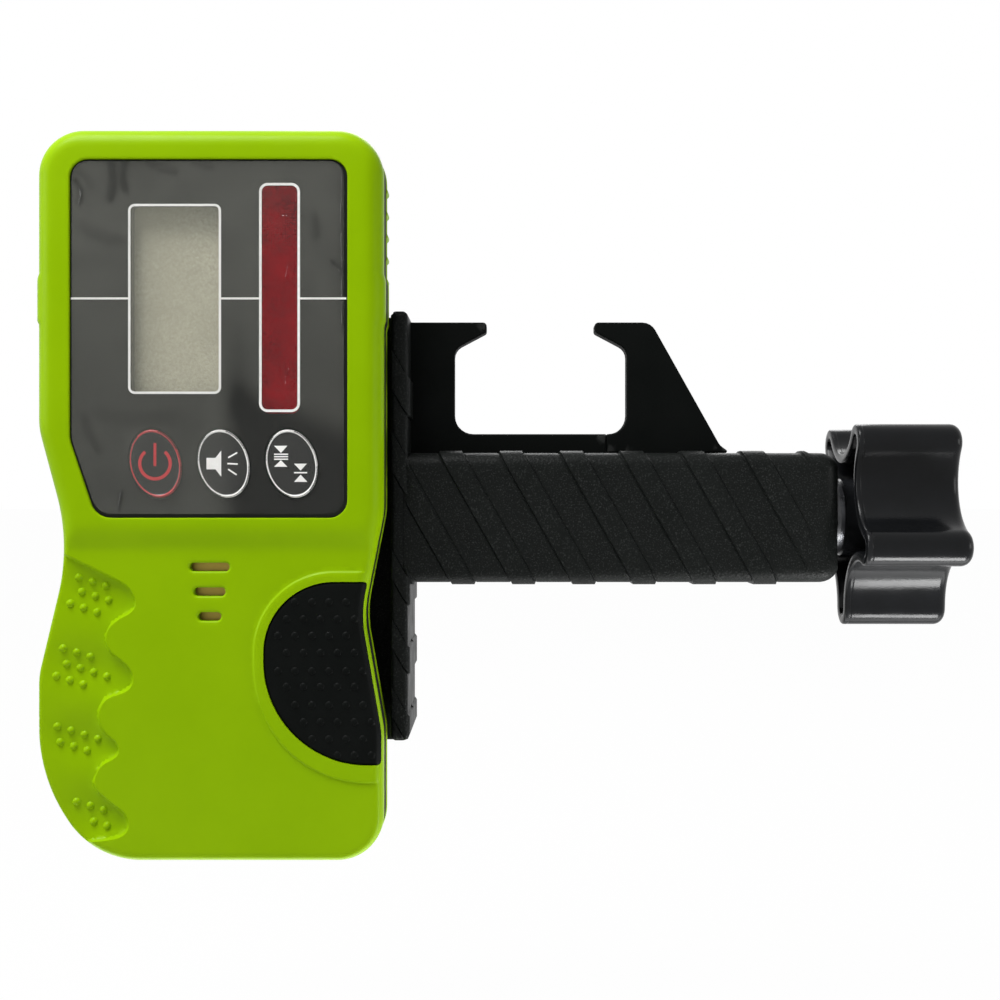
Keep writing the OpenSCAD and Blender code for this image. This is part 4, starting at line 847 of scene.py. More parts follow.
lcdLoop = outline(panel["lcd"], 0, 0.5)
sensorLoop = outline(panel["sensor"], 0, 0.5)
panelEdge = outline(panel["corners"], panel["fit"], 0.6)
panelLoops = [panelEdge, lcdLoop, sensorLoop] + [keyOval(x, grow=panel["keyGap"]) for x in panel["keys"]]
panelGrid = squareGrid(-31, 31, 74, 154, 2.5)
flat, faces = fill(panelLoops, netPoints(panelLoops, [panelEdge], [(panelGrid, 1.0)]))
front = panel["top"] + roundOver(distance(flat, panelEdge), panel["edgeRound"])
points, faces = thicken(flat, faces, front, np.full(len(flat), panel["under"]))
addPiece("panel_overlay_print", (points, faces), panelFilm, "receiver", ["panel_overlay"])

# grey lining of the deep display window
lining = {"wide": 0.9, "front": 1.45, "back": 4.1}
flat, faces = fill([outline(panel["lcd"], -lining["wide"], 0.5), lcdLoop])
depths = [np.full(len(flat), lining[end]) for end in ("front", "back")]
addPiece("lcd_window_lining", thicken(flat, faces, *depths), lcdSurround, "receiver", ())

# white ink: frames and the reference line
ink = {
    "top": 0.84, "thick": 0.05,
    "lcdFrame": boxCorners(-17.5, 2.7, 102.05, 143.35, 1.45), "lcdLine": 0.52,
    "sensorFrame": boxCorners(10.95, 19.85, 98.1, 147.9, 1.9), "sensorLine": 0.56,
    "refHalf": 0.22, "refRuns": [("left", -29.9, -17.45), ("middle", 2.65, 11.0), ("right", 19.8, 29.9)],
}


def inkPlate(name, loops):
    flat, faces = fill(loops)
    front = np.full(len(flat), ink["top"])
    solid = thicken(flat, faces, front, front + ink["thick"])
    addPiece(name, solid, whiteInk, "receiver", ())


def frameLoops(corners, line):
    return [outline(corners, 0, 0.4), outline(corners, line, 0.4)]


inkPlate("lcd_frame_ink", frameLoops(ink["lcdFrame"], ink["lcdLine"]))
inkPlate("sensor_frame_ink", frameLoops(ink["sensorFrame"], ink["sensorLine"]))
for side, x0, x1 in ink["refRuns"]:
    line = boxCorners(x0, x1, body["refZ"] - ink["refHalf"], body["refZ"] + ink["refHalf"], 0.05)
    inkPlate("reference_line_" + side, [outline(line, 0, 1.0)])
print("panel and ink")


# keys: embossed ovals with a raised ring, a shallow dome and printed signs that ride with them
keyTop = {
    "rim": 0.4, "dish": 0.68, "crown": 0.36, "under": 2.4,
    "domeEnd": 0.86, "ringAt": 0.94, "ringHalf": 0.045, "side": 0.9, "sideAt": 0.965,
    "shares": [0.12, 0.25, 0.4, 0.55, 0.68, 0.78, 0.84, 0.865, 0.885, 0.905, 0.92, 0.935, 0.95, 0.965,
               0.98, 0.99, 1.0],
    "ringInk": (0.985, 0.97, 0.95, 0.935, 0.92, 0.905), "ringProud": 0.02,
    "signProud": 0.025, "signThick": 0.05,
}


def keyDepth(share):
    # share: 0 in the middle, 1 at the oval's edge
    dish = keyTop["dish"]
    arch = np.sqrt(np.clip(1 - (share / keyTop["domeEnd"]) ** 2, 0, 1))
    dome = dish - (dish - keyTop["crown"]) * arch
    ring = dish - (dish - keyTop["rim"]) * np.exp(-((share - keyTop["ringAt"]) / keyTop["ringHalf"]) ** 2)
    side = keyTop["side"] * ramp(share, keyTop["sideAt"], 1.0)
    return np.where(share < keyTop["domeEnd"], dome, ring) + side


def keyShare(flat, x):
    c, s = math.cos(math.radians(-panel["lean"])), math.sin(math.radians(-panel["lean"]))
    dx, dz = flat[:, 0] - x, flat[:, 1] - panel["keyZ"]
    return np.hypot((dx * c - dz * s) / panel["keyHalf"][0], (dx * s + dz * c) / panel["keyHalf"][1])


keyBodies = [("power", "power_button"), ("sound", "sound_button"), ("precision", "precision_button")]
for (word, rider), x in zip(keyBodies, panel["keys"]):
    depths = keyDepth(np.array(keyTop["shares"]))
    rings = [atDepth(keyOval(x, keyTop["shares"][0]), depths[0] - 0.005)]
    rings += [atDepth(keyOval(x, share), depth) for share, depth in zip(keyTop["shares"], depths)]
    rings += [atDepth(keyOval(x), keyTop["under"])]
    addPiece(word + "_key_dome", skin(rings), keyFilm, rider, [word + "_key"], 50)
    colour = redInk if word == "power" else whiteInk
    outer, *between, inner = [keyOval(x, share) for share in keyTop["ringInk"]]
    flat, faces = fill([outer, inner], np.vstack(between))
    front = keyDepth(keyShare(flat, x)) - keyTop["ringProud"]
    ringSolid = thicken(flat, faces, front, front + 2 * keyTop["ringProud"])
    addPiece(word + "_ring_ink", ringSolid, colour, rider, (), 60)


def closer(loop, step):
    # the same loop with points along its edges, so that it can follow the dome
    rows = []
    for a, b in zip(loop, np.roll(loop, -1, 0)):
        count = max(1, int(np.linalg.norm(b - a) / step))
        rows.append(a + (b - a) * np.arange(count)[:, None] / count)
    return np.vstack(rows)


def bar(x0, z0, x1, z1, wide):
    run = np.array([x1 - x0, z1 - z0], float)
    side = np.array([-run[1], run[0]]) / np.linalg.norm(run) * wide / 2
    return np.array([[x0, z0] - side, [x1, z1] - side, [x1, z1] + side, [x0, z0] + side])


def sign(name, x, shapes, material, rider):
    solids = []
    for shape in shapes:
        loop = closer(np.asarray(shape, float) + (x, panel["keyZ"]), 0.35)
        (x0, z0), (x1, z1) = loop.min(0), loop.max(0)
        within = squareGrid(x0, x1, z0, z1, 0.4)
        within = within[inside(within, loop) & (distance(within, loop) > 0.12)]
        flat, faces = fill([loop], within)
        front = keyDepth(keyShare(flat, x)) - keyTop["signProud"]
        solids.append(thicken(flat, faces, front, front + keyTop["signThick"]))
    addPiece(name, join(*solids), material, rider, (), 60)


arcTurn = np.radians(np.linspace(130, 410, 40))
arcRow = np.stack([np.cos(arcTurn), np.sin(arcTurn)], 1)
powerArc = np.vstack([3.66 * arcRow, 2.96 * arcRow[::-1]])
sign("power_sign_ink", panel["keys"][0], [powerArc, bar(0, -0.55, 0, 4.44, 0.6)], redInk, "power_button")
speaker = [(-3.64, -1.25), (-1.67, -1.25), (-0.42, -2.83), (-0.42, 2.83), (-1.67, 1.25), (-3.64, 1.25)]
rays = [bar(1.08, 1.28, 3.03, 2.39, 0.33), bar(0.92, 0, 3.14, -0.1, 0.33),
        bar(1.08, -1.22, 2.92, -2.44, 0.33)]
sign("speaker_sign_ink", panel["keys"][1], [speaker, *rays], whiteInk, "sound_button")
arrows = [
    [(-3.77, 3.87), (-2.27, 2.3), (-0.88, 3.87)], [(-3.77, -0.69), (-0.88, -0.69), (-2.27, 0.75)],
    [(0.57, -0.02), (2.0, -1.52), (3.34, -0.02)], [(0.57, -3.97), (3.45, -3.97), (2.0, -2.4)],
]
levels = [bar(-3.77, z, -0.7, z, 0.28) for z in (2.03, 1.5, 0.95)] + [bar(0.57, -1.97, 3.4, -1.97, 0.3)]
sign("precision_sign_ink", panel["keys"][2], arrows + levels, whiteInk, "precision_button")
print("keys")

# protective film over the panel, lifted over the keys and creased near its edges
film = {
    "corners": [[29.4, 76.0, 3.4], [29.4, 152.6, 3.4], [-29.7, 152.6, 3.4], [-29.7, 92.2, 7.6],
                [-24.1, 76.0, 4.2]],
    "depth": 0.62, "nearest": 0.1, "overKeys": 0.3,
    # each crease: its run, height and half width
    "creases": [
        ([(-28.8, 148.5), (-27.6, 146.0), (-27.9, 143.5)], 0.22, 0.24),
        ([(-29.2, 150.5), (-27.0, 149.6), (-25.4, 147.2)], 0.08, 0.5),
        ([(-21.0, 152.0), (-20.6, 148.0), (-21.3, 144.6)], 0.18, 0.6),
        ([(-18.2, 152.1), (-18.7, 149.2), (-18.0, 146.4)], 0.16, 0.5),
        ([(-12.6, 152.3), (-10.0, 151.0), (-7.4, 150.4)], 0.1, 0.6),
        ([(-3.0, 152.3), (0.5, 151.3)], 0.08, 0.5),
        ([(29.1, 150.6), (28.9, 140.0), (29.1, 128.0), (29.0, 116.0)], 0.2, 0.22),
        ([(22.9, 141.0), (23.4, 138.5), (23.1, 136.0)], 0.08, 0.5),
        ([(26.9, 130.8), (28.3, 129.6), (28.6, 128.2)], 0.2, 0.2),
        ([(-27.5, 138.5), (-23.0, 135.9), (-19.5, 135.5)], 0.06, 0.8),
        ([(-26.9, 97.0), (-25.8, 93.4), (-23.9, 90.2)], 0.08, 0.6),
        ([(-18.9, 80.6), (-19.3, 77.6)], 0.18, 0.22),
        ([(-24.0, 98.0), (-16.0, 96.2), (-8.0, 96.9)], 0.05, 0.9),
        ([(13.0, 99.2), (15.6, 102.4), (18.9, 103.8)], 0.12, 0.7),
        ([(18.9, 133.8), (17.6, 130.6), (16.9, 127.4)], 0.18, 0.22),
        ([(18.8, 110.2), (17.4, 106.8), (16.9, 104.0)], 0.18, 0.22),
        ([(12.6, 141.6), (15.4, 140.6), (18.6, 141.0)], 0.12, 0.2),
    ],
    # a crease this high clears the haze and its painted reflection along it
    "clearHigh": 0.16,
}
filmLoop = outline(film["corners"], 0, 0.6)
runs = [curve(line, 0.3) for line, high, wide in film["creases"]]
beside = []
for run, (line, high, wide) in zip(runs, film["creases"]):
    beside += besideLine(run, [k * wide for k in (-1.6, -1.0, -0.5, 0.0, 0.5, 1.0, 1.6)])
filmGrid = squareGrid(-30, 30, 75, 154, 0.8)
flat, faces = fill([filmLoop], netPoints([filmLoop], [filmLoop, *beside], [(filmGrid, 0.3)]))
lift = np.zeros(len(flat))
for x in panel["keys"]:
    lift = np.maximum(lift, film["overKeys"] * (1 - ramp(keyShare(flat, x), 0.95, 1.3)))
clearing = np.zeros(len(flat))
for run, (line, high, wide) in zip(runs, film["creases"]):
    away = distance(flat, run, closed=False)
    lift = lift + high * np.exp(-(away / wide) ** 2)
    wiped = min(1.0, high / film["clearHigh"]) * np.exp(-(away / (1.9 * wide)) ** 4)
    clearing = np.maximum(clearing, wiped)
filmPoints = np.stack([flat[:, 0], np.maximum(film["depth"] - lift, film["nearest"]), flat[:, 1]], 1)
filmFaces = [tuple(f) for f in faces]
sheet = addPiece("screen_film", (filmPoints, filmFaces), filmHaze, "receiver", (), 60)
# an open sheet: its outer side has to face forward
if sum(f.normal.y for f in sheet.data.polygons) > 0:
    sheet.data.flip_normals()

# haze and painted reflection: strongest high up, thin low down on the right and beside the sensor, weaker
# along the creases; the grey is partly the film's own haze and partly painted reflection
hazeAndPaintedReflection = {"high": 0.155, "lower": 0.03, "lowRight": 0.122, "besideSensor": 0.05, "overSensor": 0.03,
        "keyShare": 0.4, "creaseShare": 0.6}
spots = (np.array([v.co for v in sheet.data.vertices], float) - zero) / mm
sx, sz = spots[:, 0], spots[:, 2]
amount = hazeAndPaintedReflection["high"] - hazeAndPaintedReflection["lower"] * (1 - ramp(sz, 100, 142))
edgeZ = 107 - 0.4 * (sx - 6)
amount = amount - hazeAndPaintedReflection["lowRight"] * ramp(sx, 1, 8) * (1 - ramp(sz - edgeZ, -8, 2))
strip = np.exp(-((sx - 6.5) / 2.4) ** 2) * ramp(sz, 94, 100) * (1 - ramp(sz, 108, 122))
amount = amount - hazeAndPaintedReflection["besideSensor"] * strip
# the film lies close on the keys, so the haze and its painted reflection are thinner there and the keys stay
# darker
for x in panel["keys"]:
    amount = amount * (1 - hazeAndPaintedReflection["keyShare"] * (1 - ramp(keyShare(np.stack([sx, sz], 1), x), 0.8, 0.92)))
# over the red window the film only paints light, lighter towards the window's top
overRed = inside(np.stack([sx, sz], 1), sensorLoop)
amount = np.where(overRed, hazeAndPaintedReflection["overSensor"] * ramp(sz, 128, 146), amount)
tree = KDTree(len(flat))
for i, q in enumerate(flat):
    tree.insert((q[0], q[1], 0), i)
tree.balance()
near = np.array([clearing[tree.find((q[0], q[2], 0))[1]] for q in spots])
hazeAndPaintedReflectionValues = (amount * (1 - hazeAndPaintedReflection["creaseShare"] * near)).astype(np.float32)
sheet.data.attributes.new("hazeAndPaintedReflection", "FLOAT", "POINT").data.foreach_set("value", hazeAndPaintedReflectionValues)

# thumb pad with raised dots
padDots = []
for k, z in enumerate(pad["dotRowZ"]):
    for x in np.arange(pad["dotX"] + (k % 2) * pad["dotPitch"] / 2, halfWide, pad["dotPitch"]):
        padDots.append((x, z))
padDots = np.array(padDots)
padDots = padDots[inside(padDots, padLoop) & (distance(padDots, padLoop) > pad["dotMargin"])]
dotRings = [circle(x, z, r, count) for x, z in padDots for r, count in pad["dotRings"]]
padRun = np.vstack([padLoop, padLoop[:1]])
padRings = besideLine(padRun, (-0.1, -0.25, -0.45, -0.7, -1.1, 0.1, 0.25, 0.45, 0.7, 1.1))
padGrid = squareGrid(11, 39, 20, 62, 0.9)
flat, faces = fill([padLoop], netPoints([padLoop], dotRings + padRings, [(padGrid, 0.4)]))
face = pad["top"] + roundOver(distance(flat, padLoop), pad["rimRound"])
depth = deeper(face, roundOver(distance(flat, bodyLoop), shell["rim"]) - 0.1, 0.6)
depth = depth - dotRise(flat, padDots, pad["dotRadius"], pad["dotProud"])
padSolid = thicken(flat, faces, depth, np.maximum(depth + 0.2, pad["under"]))
addPiece("thumb_pad_skin", padSolid, padRubber, "receiver", ["thumb_pad"], 40)
print("film and thumb pad")

# rod clamp bracket: two halves of an arm and a T-bar with slanting raised bands
arm = {
    "x0": 41.5, "x1": 140.4, "low": 60.3, "high": 89.7, "front": 12.0, "mid": 26.0, "axisZ": 75.0,
    "round": 3.5, "endRound": 4.5, "bandX": 49.3, "bandPitch": 13.7, "bandWide": 5.5, "bandLean": 29.5,
    "bandHigh": 0.5, "groove": 0.15, "bandEnd": 132.7,
    # cut away inside: x, y and z from and to
    "slot": (92.5, 131.2, 23.2, 28.8, 79.8, 95), "nutRoom": (94.5, 129.2, 18.2, 33.8, 66.7, 86.3),
    "bore": (90.0, 142, 6.8), "pocket": (37.2, 45, 3.1),
    "screws": [(50.0, 83.9), (79.9, 83.9), (51.5, 64.3), (121.4, 63.9)],
}
tee = {
    "x0": 38.6, "x1": 42.5, "low": 24.7, "high": 121.6, "round": 0.9, "endRound": 1.2,
    "bands": [(31.0, 6.3), (46.5, 6.3), (62.0, 6.3), (86.2, 8.8), (104.6, 8.8)],
}
flange = {
    "corners": [[40.55, 21.5, 1], [40.55, 122.8, 1], [-14, 122.8, 8], [-14, 90, 8],
                [23.8, 90, 6], [23.8, 21.5, 5]],
    "front": 32.3, "back": 36.7, "bevel": 0.7, "hole": 3.3,
}
slant = math.tan(math.radians(arm["bandLean"]))


def bandRise(u, starts):
    # raised strip with a fine groove along both its edges
    rise = np.zeros_like(u)
    for a, wide in starts:
        rise += arm["bandHigh"] * ramp(u, a, a + 0.22) * (1 - ramp(u, a + wide - 0.22, a + wide))
        rise -= arm["groove"] * np.exp(-((u - a + 0.12) / 0.16) ** 2)
        rise -= arm["groove"] * 0.7 * np.exp(-((u - a - wide - 0.1) / 0.14) ** 2)
    return rise


def bandLines(starts, low, high, step):
    lines = list(np.arange(low, high, step)) + [high]
    for a, wide in starts:
        lines += [a + k for k in (-0.5, -0.28, -0.12, 0.0, 0.1, 0.22, 0.4)]
        lines += [a + wide + k for k in (-0.4, -0.22, -0.1, 0.0, 0.12, 0.26, 0.5)]
    lines = np.array(sorted(v for v in lines if low <= v <= high))
    return lines[np.concatenate([[True], np.diff(lines) > 0.04])]


def quarterTurn(count):
    # sine and cosine along a rounded edge
    return [(math.sin(a), math.cos(a)) for a in np.radians(np.linspace(0, 90, count))]


def armSection(inset):
    # half section at an inset: from the seam over the top, down the face and back along the bottom;
    # each row is depth, height and the normal there
    r = arm["round"] - np.minimum(inset, arm["round"] - 0.1)
    turn = quarterTurn(7)
    top, low, front = arm["high"] - inset, arm["low"] + inset, arm["front"] + inset
    path = [(y, top, 0, 1) for y in (arm["mid"], 22, 19)]
    path += [(front + r - r * s, top - r + r * c, -s, c) for s, c in turn]
    path += [(front, z, -1, 0) for z in np.linspace(top - r, low + r, 12)[1:-1]]
    path += [(front + r - r * c, low + r - r * s, -c, -s) for s, c in turn]
    return np.array(path + [(y, low, 0, -1) for y in (19, 22, arm["mid"])])


def halfSolid(rings, flip):
    points, faces = skin(rings)
    if flip:
        points[:, 1] = 2 * arm["mid"] - points[:, 1]
    return points, faces


def armHalf(flip):
    full = armSection(0.0)
    endRound = arm["endRound"]
    insets = np.linspace(0, endRound, 60)
    table = np.array([armSection(e)[:, :2] for e in insets])
    starts = [(arm["bandX"] + arm["bandPitch"] * k, arm["bandWide"]) for k in range(-2, 7)]
    # the clamp plate slides along the middle of the top, so the bands stop short of it
    plain = (full[:, 0] > 20) & (full[:, 3] > 0.9) | (full[:, 0] > arm["mid"] - 0.1)
    rings = []
    for u in bandLines(starts, arm["x0"] - 18, arm["x1"], 1.0):
        x = np.clip(u + (arm["high"] - full[:, 1]) * slant, arm["x0"], arm["x1"])
        rise = bandRise(np.full(len(full), u), starts)
        rise = rise * (1 - ramp(x, arm["bandEnd"] - 0.2, arm["bandEnd"] + 0.2))
        rise = np.where(plain, 0.0, rise * ramp(x, arm["x0"] + 0.2, arm["x0"] + 0.8))
        past = np.clip(x - (arm["x1"] - endRound), 0, endRound)
        pull = endRound - np.sqrt(endRound ** 2 - past ** 2)
        y = np.array([np.interp(e, insets, table[:, i, 0]) for i, e in enumerate(pull)]) + full[:, 2] * rise
        z = np.array([np.interp(e, insets, table[:, i, 1]) for i, e in enumerate(pull)]) + full[:, 3] * rise
        rings.append(np.stack([x, y, z], 1))
    return halfSolid(rings, flip)


def teeHalf(flip):
    r, front, endRound = tee["round"], arm["front"], tee["endRound"]
    turn = quarterTurn(5)
    path = [(tee["x0"], y, -1, 0) for y in (arm["mid"], 19)]
    path += [(tee["x0"] + r - r * c, front + r - r * s, -c, -s) for s, c in turn]
    path += [(x, front, 0, -1) for x in (39.9, 40.5, 41.1)]
    path += [(tee["x1"] - r + r * s, front + r - r * c, s, -c) for s, c in turn]
    path += [(tee["x1"], y, 1, 0) for y in (16, 19, 22, arm["mid"])]
    path = np.array(path)
    rings = []
    for u in bandLines(tee["bands"], tee["low"], tee["high"] + 8, 1.2):
        z = np.clip(u - (path[:, 0] - tee["x0"]) / slant, tee["low"], tee["high"])
        below, above = tee["high"] - z, z - tee["low"]
        rise = bandRise(np.full(len(path), u), tee["bands"])
        rise = rise * ramp(below, 0.0, 0.6) * ramp(above, 0.0, 0.6)
        rise = rise * np.where(path[:, 2] < -0.5, 0.0, 1.0)
        past = np.maximum(np.clip(endRound - below, 0, endRound), np.clip(endRound - above, 0, endRound))
        pull = endRound - np.sqrt(endRound ** 2 - past ** 2)
        x = path[:, 0] + path[:, 2] * (rise - pull)
        y = np.where(path[:, 1] > arm["mid"] - 0.1, path[:, 1], path[:, 1] + path[:, 3] * (rise - pull))
        rings.append(np.stack([x, y, z], 1))
    return halfSolid(rings, flip)


clampAxis = (0, arm["mid"], arm["axisZ"])
boreStart, boreEnd, boreR = arm["bore"]
pocketY, pocketEnd, pocketR = arm["pocket"]
inner = [
    block(*arm["slot"]), block(*arm["nutRoom"]),
    lathe([(boreStart, boreR), (boreEnd, boreR)], "x", clampAxis, 40),
]
pockets = [lathe([(pocketY, pocketR), (pocketEnd, pocketR)], "y", (x, 0, z), 32) for x, z in arm["screws"]]
frontArm = carve(armHalf(False), inner)
rearArm = carve(armHalf(True), inner + pockets)
flangePlate = plate(flange["corners"], flange["front"], flange["back"], flange["bevel"], 1.2,
                    [circle(0, rear["mountZ"], flange["hole"])])
addPiece("bracket_front_half", join(frontArm, teeHalf(False)), bracketNylon, "receiver",
         ["bracket_front"], 30)
addPiece("bracket_rear_half", join(rearArm, teeHalf(True), flangePlate), bracketNylon, "receiver",
         ["bracket_rear"], 30)
print("bracket")

# clamp plates with a small worn edge
jaw = {
    "front": 23.5, "back": 28.5, "bevel": 0.45, "left": 52.7, "right": 92.9, "seatZ": 94.4, "seatRound": 4.4,
    "lipZ": 120.5, "lipThick": 2.3, "lipReach": 7.5, "lipLean": 28, "fixedLow": 80.7, "fixedX": (41, 88.1),
    "slideX": 88.2, "footZ": 90.0, "tongueX": (92.8, 108.8), "tongueZ": 80, "heelX": 117.2, "shoulderX": 98.6,
}
left, right, seat, lip = jaw["left"], jaw["right"], jaw["seatZ"], jaw["lipZ"]
foot, tongueZ = jaw["footZ"], jaw["tongueZ"]
shoulder = lip - jaw["lipThick"]
neck = shoulder - jaw["lipReach"] * math.tan(math.radians(jaw["lipLean"]))
leftTip, rightTip = left + jaw["lipReach"], right - jaw["lipReach"]
fixedStart, fixedEnd = jaw["fixedX"]
fixedCorners = [
    [fixedStart, jaw["fixedLow"], 0.5], [fixedEnd, jaw["fixedLow"], 0.5], [fixedEnd, seat, 0.3],
    [left, seat, jaw["seatRound"]], [left, neck, 3], [leftTip, shoulder, 0.8], [leftTip, lip, 0.9],
    [fixedStart, lip, 0.6],
]
slidingCorners = [
    [jaw["slideX"], foot, 0.4], [jaw["tongueX"][0], foot, 0.5], [jaw["tongueX"][0], tongueZ, 0.5],
    [jaw["tongueX"][1], tongueZ, 0.5], [jaw["tongueX"][1], foot, 0.5], [jaw["heelX"], foot, 0.4],
    [jaw["heelX"] - 2.5, foot + 1.8, 2.5], [jaw["shoulderX"], lip, 3.5], [rightTip, lip, 0.9],
    [rightTip, shoulder, 0.8], [right, neck, 3], [right, seat, jaw["seatRound"]], [jaw["slideX"], seat, 0.3],
]
for node, corners, rider in (("fixed_jaw", fixedCorners, "receiver"), ("sliding_jaw", slidingCorners, "jaw")):
    solid = plate(corners, jaw["front"], jaw["back"], jaw["bevel"], 1.0)
    addPiece(node + "_plate", solid, jawCoat, rider, [node], 10)

# knob: thin-walled five-lobed cup, open towards the arm, with a moulded lip and a rounded closed end
knob = {
    "x0": 143.5, "x1": 167.3, "lobes": 5, "lobeRing": 21.0, "lobeR": 4.2, "hollowRing": 25.957,
    "hollowR": 11.057, "wall": 2.4, "end": 3.0, "round": 2.4,
    # inside and outside of the lip: distance from the open end and inset
    "lipIn": [(0.5, 2.4), (0.1, 2.15), (0.0, 1.8)],
    "lipOut": [(0.0, 0.55), (0.12, 0.22), (0.4, 0.02), (1.1, 0.0), (1.2, 0.08), (1.35, 0.1), (1.5, 0.04),
               (1.7, 0.02), (8, 0.02), (15, 0.02)],
    "hubX": 142.55, "hubR": 9.0, "hubRound": 0.4, "hubDeep": 2.6, "shaft": 4.05,
}


def knobRing(x, inset, steps=16):
    half = math.pi / knob["lobes"]
    ring = []
    for i in range(knob["lobes"]):
        a = -math.pi / 2 + 2 * half * i
        tip = knob["lobeRing"] * np.array([math.cos(a), math.sin(a)])
        hollow = knob["hollowRing"] * np.array([math.cos(a + half), math.sin(a + half)])
        across = hollow - tip
        sweep = (math.atan2(across[1], across[0]) - a + math.pi) % (2 * math.pi) - math.pi
        bayTurn = sweep - half
        for k in range(steps + 1):
            t = a + sweep * (2 * k / steps - 1)
            ring.append(tip + (knob["lobeR"] - inset) * np.array([math.cos(t), math.sin(t)]))
        for k in range(1, steps):
            t = a + half + math.pi + bayTurn * (1 - 2 * k / steps)
            ring.append(hollow + (knob["hollowR"] + inset) * np.array([math.cos(t), math.sin(t)]))
    ring = np.array(ring)
    return np.stack([np.full(len(ring), x), clampAxis[1] + ring[:, 0], clampAxis[2] + ring[:, 1]], 1)


mouth, end, bend = knob["x0"], knob["x1"], knob["round"]
rows = [(end - knob["end"], knob["wall"])]
rows += [(mouth + a, inset) for a, inset in knob["lipIn"] + knob["lipOut"]]
rows += [(end - bend, 0.0)]
rows += [(end - bend + bend * s, bend * (1 - c)) for s, c in quarterTurn(7)[1:]]
cup = skin([knobRing(x, inset) for x, inset in rows])
hubEnd, hubX, hubR, shaft = end - knob["hubDeep"], knob["hubX"], knob["hubR"], knob["shaft"]
hubProfile = [(hubEnd, shaft), (hubX, shaft), (hubX, hubR - knob["hubRound"]),
              (hubX + knob["hubRound"], hubR), (hubEnd, hubR)]
hub = lathe(hubProfile, "x", clampAxis, 64)
addPiece("clamp_knob_cup", join(cup, hub), knobGloss, "clamp_drive", ["clamp_knob"], 40)

# mounting screw: gripped head with a dish in it, and a plain shank
screw = {"tip": 23.0, "tipR": 2.2, "shankR": 2.9, "headY": 37.7, "headT": 9.0, "headR": 9.0, "grips": 12}


def gripRing(y, inset, grip, steps=240):
    turn = np.linspace(0, 2 * math.pi, steps, endpoint=False)
    groove = 0.5 + 0.5 * np.cos(turn * screw["grips"])
    r = screw["headR"] - inset - grip * groove ** 3
    return np.stack([r * np.cos(turn), np.full(steps, y), rear["mountZ"] + r * np.sin(turn)], 1)


foot, top = screw["headY"], screw["headY"] + screw["headT"]
# each row: place along the screw, inset and depth of the grips
headRows = [
    (foot, 0.6, 1), (foot + 0.3, 0.15, 1), (foot + 0.8, 0.0, 1), (top - 0.9, 0.0, 1), (top - 0.4, 0.15, 1),
    (top - 0.1, 0.5, 0.9), (top, 1.1, 0.6), (top, 2.4, 0.0), (top - 0.2, 2.8, 0.0), (top - 0.8, 3.2, 0.0),
    (top - 0.8, 5.5, 0.0),
]
head = skin([gripRing(*row) for row in headRows])
tip, shankR = screw["tip"], screw["shankR"]
shankProfile = [(tip, screw["tipR"]), (tip + 0.8, shankR), (foot + 0.5, shankR)]
shank = lathe(shankProfile, "y", (0, 0, rear["mountZ"]), 32)
addPiece("mount_screw_head", join(head, shank), knobGloss, "mount_drive", ["mount_screw"], 40)
print("clamp plates, knob and mounting screw")

# studio: white paper below and behind, soft light from above, both sides and behind, some bounce from below
scene = bpy.context.scene
scene.view_settings.view_transform = "Standard"
studio = {
    "floorZ": -52.0, "floorX": 9000, "floorY": (-2500, 20000), "floorSeen": 0.985, "roomLight": 0.12,
    "camera": (63.3, -303.3, 79.0), "lens": 50.4,
    # each lamp: name, place, aim, size in mm and watts
    "lamps": [
        ("top_softbox", (-170, -190, 600), (50, 14, 80), (320, 320), 5.5),
        ("left_softbox", (-640, -220, 240), (20, 10, 80), (340, 260), 1.3),
        ("right_softbox", (780, -220, 140), (80, 10, 80), (300, 240), 0.8),
        ("back_softbox", (120, 620, 560), (50, 20, 80), (400, 400), 2.0),
        ("floor_bounce", (90, 24, -47), (90, 26, 60), (420, 56), 0.24),
        ("knob_glint", (192, -26, -46), (186, 8, 60), (70, 44), 0.3),
    ],
}


def drawnPlace(x, y, z):
    return Vector((np.array([x, y, z], float) * mm + zero).tolist())


def backdropSeen(tree):
    # the camera, and whatever the gloss and the windows mirror, sees plain white
    path = addNode(tree, "LightPath")
    mirrored = addNode(tree, "Math", {
        0: path.outputs["Is Camera Ray"], 1: path.outputs["Is Glossy Ray"]}, operation="MAXIMUM")
    seen = addNode(tree, "Math", {
        0: mirrored.outputs["Value"], 1: path.outputs["Is Transmission Ray"]}, operation="MAXIMUM")
    return seen.outputs["Value"]


floorMesh = bpy.data.meshes.new("studio_floor")
nearY, farY = studio["floorY"]
sideX = studio["floorX"]
floorSpots = [(-sideX, nearY), (sideX, nearY), (sideX, farY), (-sideX, farY)]
floorMesh.from_pydata([drawnPlace(x, y, studio["floorZ"]) for x, y in floorSpots], [], [(0, 1, 2, 3)])
floor = bpy.data.objects.new("studio_floor", floorMesh)
scene.collection.objects.link(floor)
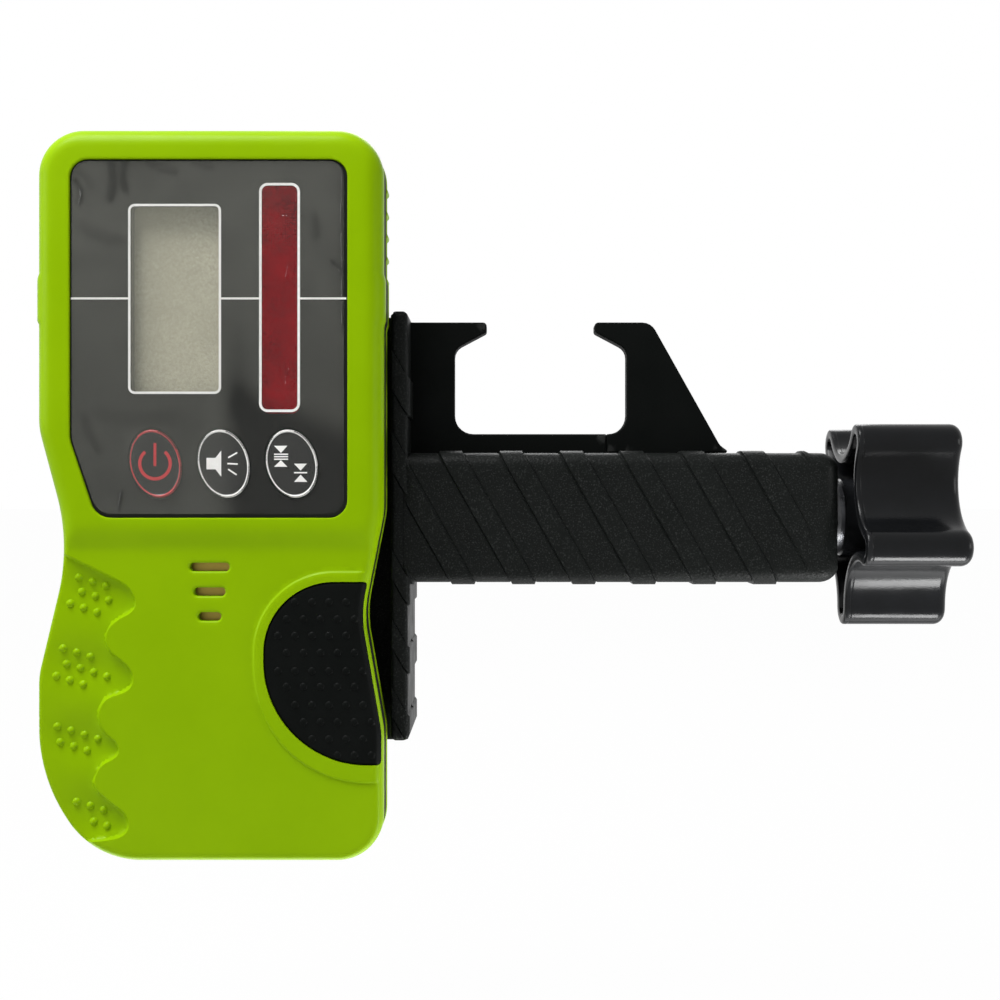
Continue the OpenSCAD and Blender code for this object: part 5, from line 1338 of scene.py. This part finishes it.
# matt paper: a pale ground with hardly any fibre to see
floorLook, tree, where = newMaterial("white_studio_paper")
fibre = addNode(tree, "TexNoise", {"Vector": where, "Scale": perMm(4), "Detail": 3.0})
paper = addNode(tree, "ValToRGB", {"Fac": fibre.outputs["Fac"]})
paper.color_ramp.elements[0].color = hexColor("#c8c8c6")
paper.color_ramp.elements[1].color = hexColor("#d0d0ce")
dull = addNode(tree, "BsdfDiffuse", {"Color": paper.outputs["Color"]})
white = addNode(tree, "Emission", {"Color": hexColor("#ffffff"), "Strength": 1.0})
share = addNode(tree, "Math", {0: backdropSeen(tree), 1: studio["floorSeen"]}, operation="MULTIPLY")
both = addNode(tree, "MixShader", {
    0: share.outputs["Value"], 1: dull.outputs["BSDF"], 2: white.outputs["Emission"]})
addNode(tree, "OutputMaterial", {"Surface": both.outputs["Shader"]})
floorMesh.materials.append(floorLook)

world = bpy.data.worlds.new("studio_world")
scene.world = world
world.use_nodes = True
tree = world.node_tree
tree.nodes.clear()
dim = addNode(tree, "Background", {"Color": hexColor("#ffffff"), "Strength": studio["roomLight"]})
seen = addNode(tree, "Background", {"Color": hexColor("#ffffff"), "Strength": 1.0})
mix = addNode(tree, "MixShader", {
    0: backdropSeen(tree), 1: dim.outputs["Background"], 2: seen.outputs["Background"]})
addNode(tree, "OutputWorld", {"Surface": mix.outputs["Shader"]})

for name, spot, aim, size, watts in studio["lamps"]:
    light = bpy.data.lights.new(name, "AREA")
    light.shape = "RECTANGLE"
    light.size, light.size_y = size[0] * mm, size[1] * mm
    light.energy = watts
    lamp = bpy.data.objects.new(name, light)
    scene.collection.objects.link(lamp)
    lamp.location = drawnPlace(*spot)
    lamp.rotation_euler = (drawnPlace(*aim) - drawnPlace(*spot)).to_track_quat("-Z", "Y").to_euler()

cameraData = bpy.data.cameras.new("photo_camera")
cameraData.lens = studio["lens"]
cameraData.sensor_width = 36.0
cameraData.sensor_fit = "HORIZONTAL"
cameraData.clip_start = 0.01
camera = bpy.data.objects.new("photo_camera", cameraData)
scene.collection.objects.link(camera)
camera.location = drawnPlace(*studio["camera"])
camera.rotation_euler = (math.radians(90), 0, 0)
scene.camera = camera
print("studio ready")
